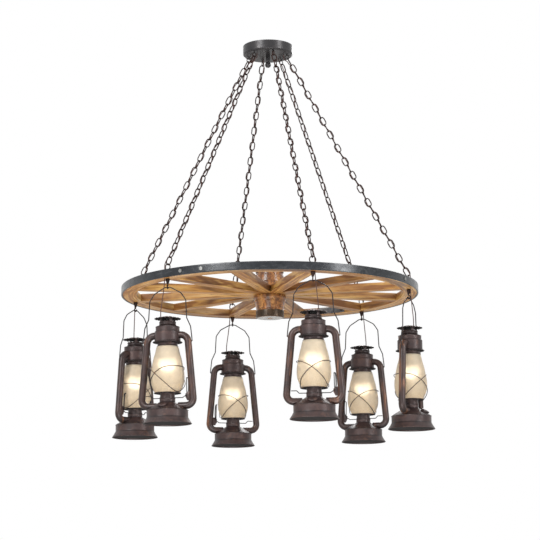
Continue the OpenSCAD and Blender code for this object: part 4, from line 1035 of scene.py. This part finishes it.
# Screw cap on the slope: a low dome with a fluted side, r less depth cos(flutes a).
def fillerSurface():
    f = fountSize
    r, high = f["fillerRadius"], f["fillerHigh"]
    outline = densify(roundCorners([(0, high + 0.6), (r * 0.55, high + 0.3), (r, high - 1.2), (r, 1.6),
        (r - 3, 1.2), (r - 3, -1.2), (0, -1.2)], [0, 6, 2.2, 0.6, 0.3, 0, 0], 5), 0.9)
    cap = turned(outline, 120)
    p = cap["points"]
    away, angle = np.hypot(p[..., 0], p[..., 1]), np.arctan2(p[..., 1], p[..., 0])
    flutes = (1 + np.cos(f["fillerFlutes"] * angle)) * np.clip((away - r + 2.5) / 2, 0, 1)
    p[..., :2] *= (1 - f["fillerDepth"] / r * flutes)[..., None]
    slope = math.degrees(math.atan2(f["topZ"] - f["shoulderZ"], f["shoulder"] - f["cup"]))
    middle = (f["shoulder"] + f["cup"]) / 2 + 2.5
    place = [0, -middle, f["topZ"] - (middle - f["cup"]) * math.tan(math.radians(slope))]
    return surface(turnAboutX(p, slope) + place)


# Open burner cup; its rim drops at two notches, where the lever's arm passes.
def cupSurface():
    f = fountSize
    out, inside = f["cup"], f["cup"] - f["sheet"]
    outline = densify(roundCorners([(inside, f["topZ"] + 1), (inside, f["cupRim"]), (out, f["cupRim"]),
        (out, f["topZ"] + 0.05)], [0, 0.45, 0.45, 0], 4), 1.0)
    outline[:, 0] += 0.7 * np.exp(-((outline[:, 1] - f["cupRim"] + 4.5) / 0.9) ** 2)
    outline = np.vstack([[(0, f["topZ"] + 1)], outline, [(0, f["topZ"] + 0.05)]])
    cup = turned(outline, 192)
    p = cup["points"]
    inNotch = (np.abs(p[..., 1]) < f["notchHalf"]) & (np.hypot(p[..., 0], p[..., 1]) > f["cup"] - 3)
    p[..., 2] = np.where(inNotch, np.minimum(p[..., 2], f["notchZ"]), p[..., 2])
    return cup


globeSize = {"topZ": -82.8, "high": 170.2, "neck": 32.6, "wide": 57.3, "foot": 43.0, "glass": 2.2,
    # share of the height from the top, and share of the way from that end's radius to the widest
    "upper": [(0.01, 0), (9.1 / 170.2, 0), (0.08, 0.14), (0.125, 0.26), (0.207, 0.38), (0.318, 0.6),
        (0.483, 0.83), (0.6, 0.97), (0.675, 1)],
    "lower": [(0.75, 0.98), (0.8355, 0.8), (0.93, 0.35), (0.998, 0)]}


# Blown shape: end radius + (widest - end radius) share, at the top - height share, on a smooth curve.
def globeOutline(steps=7):
    g = globeSize
    points = [(end + (g["wide"] - end) * w, g["topZ"] - g["high"] * s)
        for end, rows in ((g["neck"], g["upper"]), (g["foot"], g["lower"])) for s, w in rows]
    return smoothCurve(points, steps)


# The outline and the same outline moved in by the glass, carried round Z.
def globeMesh():
    outer = globeOutline()
    along = unit(np.gradient(outer, axis=0))
    inner = (outer + np.stack([along[:, 1], -along[:, 0]], -1) * globeSize["glass"])[::-1]
    inner[:, 1] = np.clip(inner[:, 1], outer[:, 1].min(), outer[:, 1].max())
    return makeMesh("globe", [turned(np.vstack([outer, inner]), 128, closed=True)], crease=60)


cradleSize = {"plate": 46.0, "plateZ": -253.0, "plateLip": 2.2, "lipSheet": 1.4, "hole": 18.0, "sheet": 1.0,
    "skirt": 24.8, "skirtLow": -269.0, "collarOut": 33.75, "collarIn": 32.65, "collarHigh": 12.5,
    "wire": 1.25, "gap": 0.9, "seat": 0.05, "guardTop": -166.0, "guardPower": 1.858, "guardSteps": 120}


# Wire hoop round the globe, just off the glass: its height is top - (top - low) ((1 - cos a)/2)^power, so
# it is high on one side and down at the plate on the other. Layer 1 lies outside layer 0.
def guardSurface(turn, layer):
    c = cradleSize
    a = np.linspace(0, 2 * math.pi, c["guardSteps"], endpoint=False)
    low = c["plateZ"] + c["wire"] + c["seat"]
    z = c["guardTop"] - (c["guardTop"] - low) * ((1 - np.cos(a)) / 2) ** c["guardPower"]
    side = globeOutline()[::-1]
    radius = np.interp(z, side[:, 1], side[:, 0]) + c["gap"] + c["wire"] + layer * (2 * c["wire"] + c["seat"])
    b = a + math.radians(turn)
    hoop = np.stack([radius * np.cos(b), radius * np.sin(b), z], -1)
    return sweep(hoop, c["wire"], 10, (0, 0, 1), closed=True)


# Plate with its turned-down lip and its skirt in one outline, a collar that follows the glass, two hoops.
def cradleMesh(i):
    c = cradleSize
    z, t, rim, skirt = c["plateZ"], c["sheet"], c["plate"], c["skirt"]
    lipIn, lipLow = rim - c["lipSheet"], z - c["plateLip"]
    plate = roundCorners([(c["hole"], z), (rim, z), (rim, lipLow), (lipIn, lipLow), (lipIn, z - t),
        (skirt, z - t), (skirt, c["skirtLow"]), (skirt - t, c["skirtLow"]), (skirt - t, z - t),
        (c["hole"], z - t)], [0.4, 0.9, 0.4, 0.4, 0.5, 2.5, 0.4, 0.4, 0, 0.4], 4, closed=True)
    side = globeOutline()[::-1]
    heights = globeSize["topZ"] - np.linspace(0, c["collarHigh"], 14)
    close = np.maximum(np.interp(heights, side[:, 1], side[:, 0]) + c["seat"], c["collarIn"])
    sheet = c["collarOut"] - c["collarIn"]
    collar = np.vstack([np.stack([close + sheet, heights], -1), np.stack([close, heights], -1)[::-1]])
    turn = layout["guardTurn"][i - 1]
    return makeMesh(f"cradle{i}", [turned(densify(plate, 3, closed=True), 112, closed=True),
        turned(collar, 96, closed=True), guardSurface(turn, 0), guardSurface(turn + 180, 1)])


wireSize = {
    "side": (0.577, 0.577, 0.577),
    # the bail is a thicker wire above its ends
    "bail": 1.5, "bailSwell": 0.35, "swellAbove": -70.0,
    "bailHalf": [(10, 108), (48, 87), (65, 62), (68.5, 0), (82.5, -30), (88.5, -80), (83, -80)],
    "bailBends": [15, 25, 15, 8, 8, 1.6, 0],
    "lever": 1.5, "loop": 2.05,
    "leverPath": [(66, 13, -203), (66, 5, -203), (67.5, 5, -262), (67.5, 0, -262), (54, 0, -270.4),
        (-50, 0, -270.4), (-58, 0, -262), (-76.8, 0, -262)],
    "leverBends": [0, 3, 1.3, 1.3, 3, 3, 3, 0],
    "leverLoop": [(67.2, 5.4, -257), (69.6, 7, -254), (72, 9, -246), (72, 10, -226), (70.8, 11, -209),
        (69, 12.4, -203.6), (66, 13, -203)],
}


# Round wire along its half path and the same half mirrored in X.
def bailMesh():
    half = [(x, 0, z) for x, z in wireSize["bailHalf"]]
    path = half[::-1] + [(-x, y, z) for x, y, z in half]
    bends = wireSize["bailBends"][::-1] + wireSize["bailBends"]
    wire = densify(roundCorners(path, bends, 9), 5)
    radius = wireSize["bail"] + np.where(wire[:, 2] < wireSize["swellAbove"], 0, wireSize["bailSwell"])
    return makeMesh("bail", [sweep(wire, radius, 14, (0, 1, 0))])


# Bent wire with a thumb loop of thicker wire beside its handle.
def leverMesh():
    wire = densify(roundCorners(wireSize["leverPath"], wireSize["leverBends"], 6), 5)
    thumb = smoothCurve(wireSize["leverLoop"], 6)
    return makeMesh("lever", [sweep(wire, wireSize["lever"], 12, wireSize["side"]),
        sweep(thumb, wireSize["loop"], 12, wireSize["side"])])


lampSize = {"strapHalf": 6.0, "strapTop": -46.0, "strapLow": -47.45, "strapReach": 42.6, "socket": 14.5,
    "socketTop": -47.5, "socketLow": -96.0, "ribDepth": 0.5, "ribPitch": 6.0,
    "bulb": 30.0, "bulbZ": -150.0, "bulbEdge": 42.0, "bulbNeck": 13.0, "bulbTop": -96.1}


# Ribbed body, its radius less depth (1 + cos(2 pi z / pitch)), under a strap across the chamber.
def socketMesh():
    s = lampSize
    r, top, low, half = s["socket"], s["socketTop"], s["socketLow"], s["strapHalf"]
    outline = densify(roundCorners([(0, top), (r, top), (r, low), (0, low)], [0, 1.5, 1.2, 0], 4), 1.0)
    ribs = s["ribDepth"] * (1 + np.cos((outline[:, 1] - top) * 2 * math.pi / s["ribPitch"]))
    outline[:, 0] -= np.where(outline[:, 0] > r - 0.2, ribs, 0)
    corners = roundCorners([(-half, s["strapLow"]), (half, s["strapLow"]), (half, s["strapTop"]),
        (-half, s["strapTop"])], 0.4, 3, closed=True)
    ys = np.linspace(-s["strapReach"], s["strapReach"], 9)[:, None]
    strap = np.stack([np.repeat(corners[None, :, 0], len(ys), 0), np.repeat(ys, len(corners), 1),
        np.repeat(corners[None, :, 1], len(ys), 0)], -1)
    return makeMesh("socket", [turned(outline, 44), surface(closeEnds(strap))])


# Round bulb: a sphere whose upper side runs into its neck along a smooth curve.
def bulbMesh():
    s = lampSize
    a = np.radians(np.linspace(-90, s["bulbEdge"], 16))
    ball = np.stack([s["bulb"] * np.cos(a), s["bulbZ"] + s["bulb"] * np.sin(a)], -1)
    r, top = s["bulbNeck"], s["bulbTop"]
    neck = [(16.2, -120.5), (r + 0.4, -111), (r, -101), (r, top)]
    outline = np.vstack([smoothCurve(np.vstack([ball, neck]), 3), [(0, top)]])
    return makeMesh("bulb", [turned(outline, 64)])


hoodShape = hoodMesh()
tubeShape = makeMesh("tubes", [*tubeSurfaces(1), *tubeSurfaces(-1), bracketSurface()])
fountShape = makeMesh("fount", [fountSurface(), fillerSurface(), cupSurface()])
globeShape = globeMesh()
bailShape = bailMesh()
leverShape = leverMesh()
socketShape = socketMesh()
bulbShape = bulbMesh()


def addLantern(i):
    # each piece: name, shape, finish, body, material slot, the node that it stands for
    rows = [
        ("airTubes", tubeShape, "tube", "lantern", "lantern_metal", "lantern_frame"),
        ("fount", fountShape, "lantern", "lantern", "lantern_metal", "lantern_frame"),
        ("hoodShell", hoodShape, "lantern", "lantern", "lantern_metal", "hood"),
        ("socket", socketShape, "cream", "lantern", "lamp_cream", "lamp"),
        ("bulb", bulbShape, "bulb", "lantern", "lamp_cream", "lamp"),
        ("globeGlass", globeShape, "glass", "globe", "globe_glass", "globe"),
        ("globeGuard", cradleMesh(i), "lantern", "globe", "lantern_metal", "globe_cradle"),
        ("bailWire", bailShape, "wire", "bail", "bail_wire", "bail"),
        ("liftLever", leverShape, "wire", "lever", "lever_wire", "lift_lever"),
    ]
    for name, shape, look, body, slot, node in rows:
        mesh = lanternCopy(shape, f"{name}_{i}", i)
        addPiece(mesh.name, mesh, finish[look], f"{body}_{i}", f"{node}_{i}")


for lantern in range(1, layout["lanterns"] + 1):
    addLantern(lantern)
print("lanterns ready")
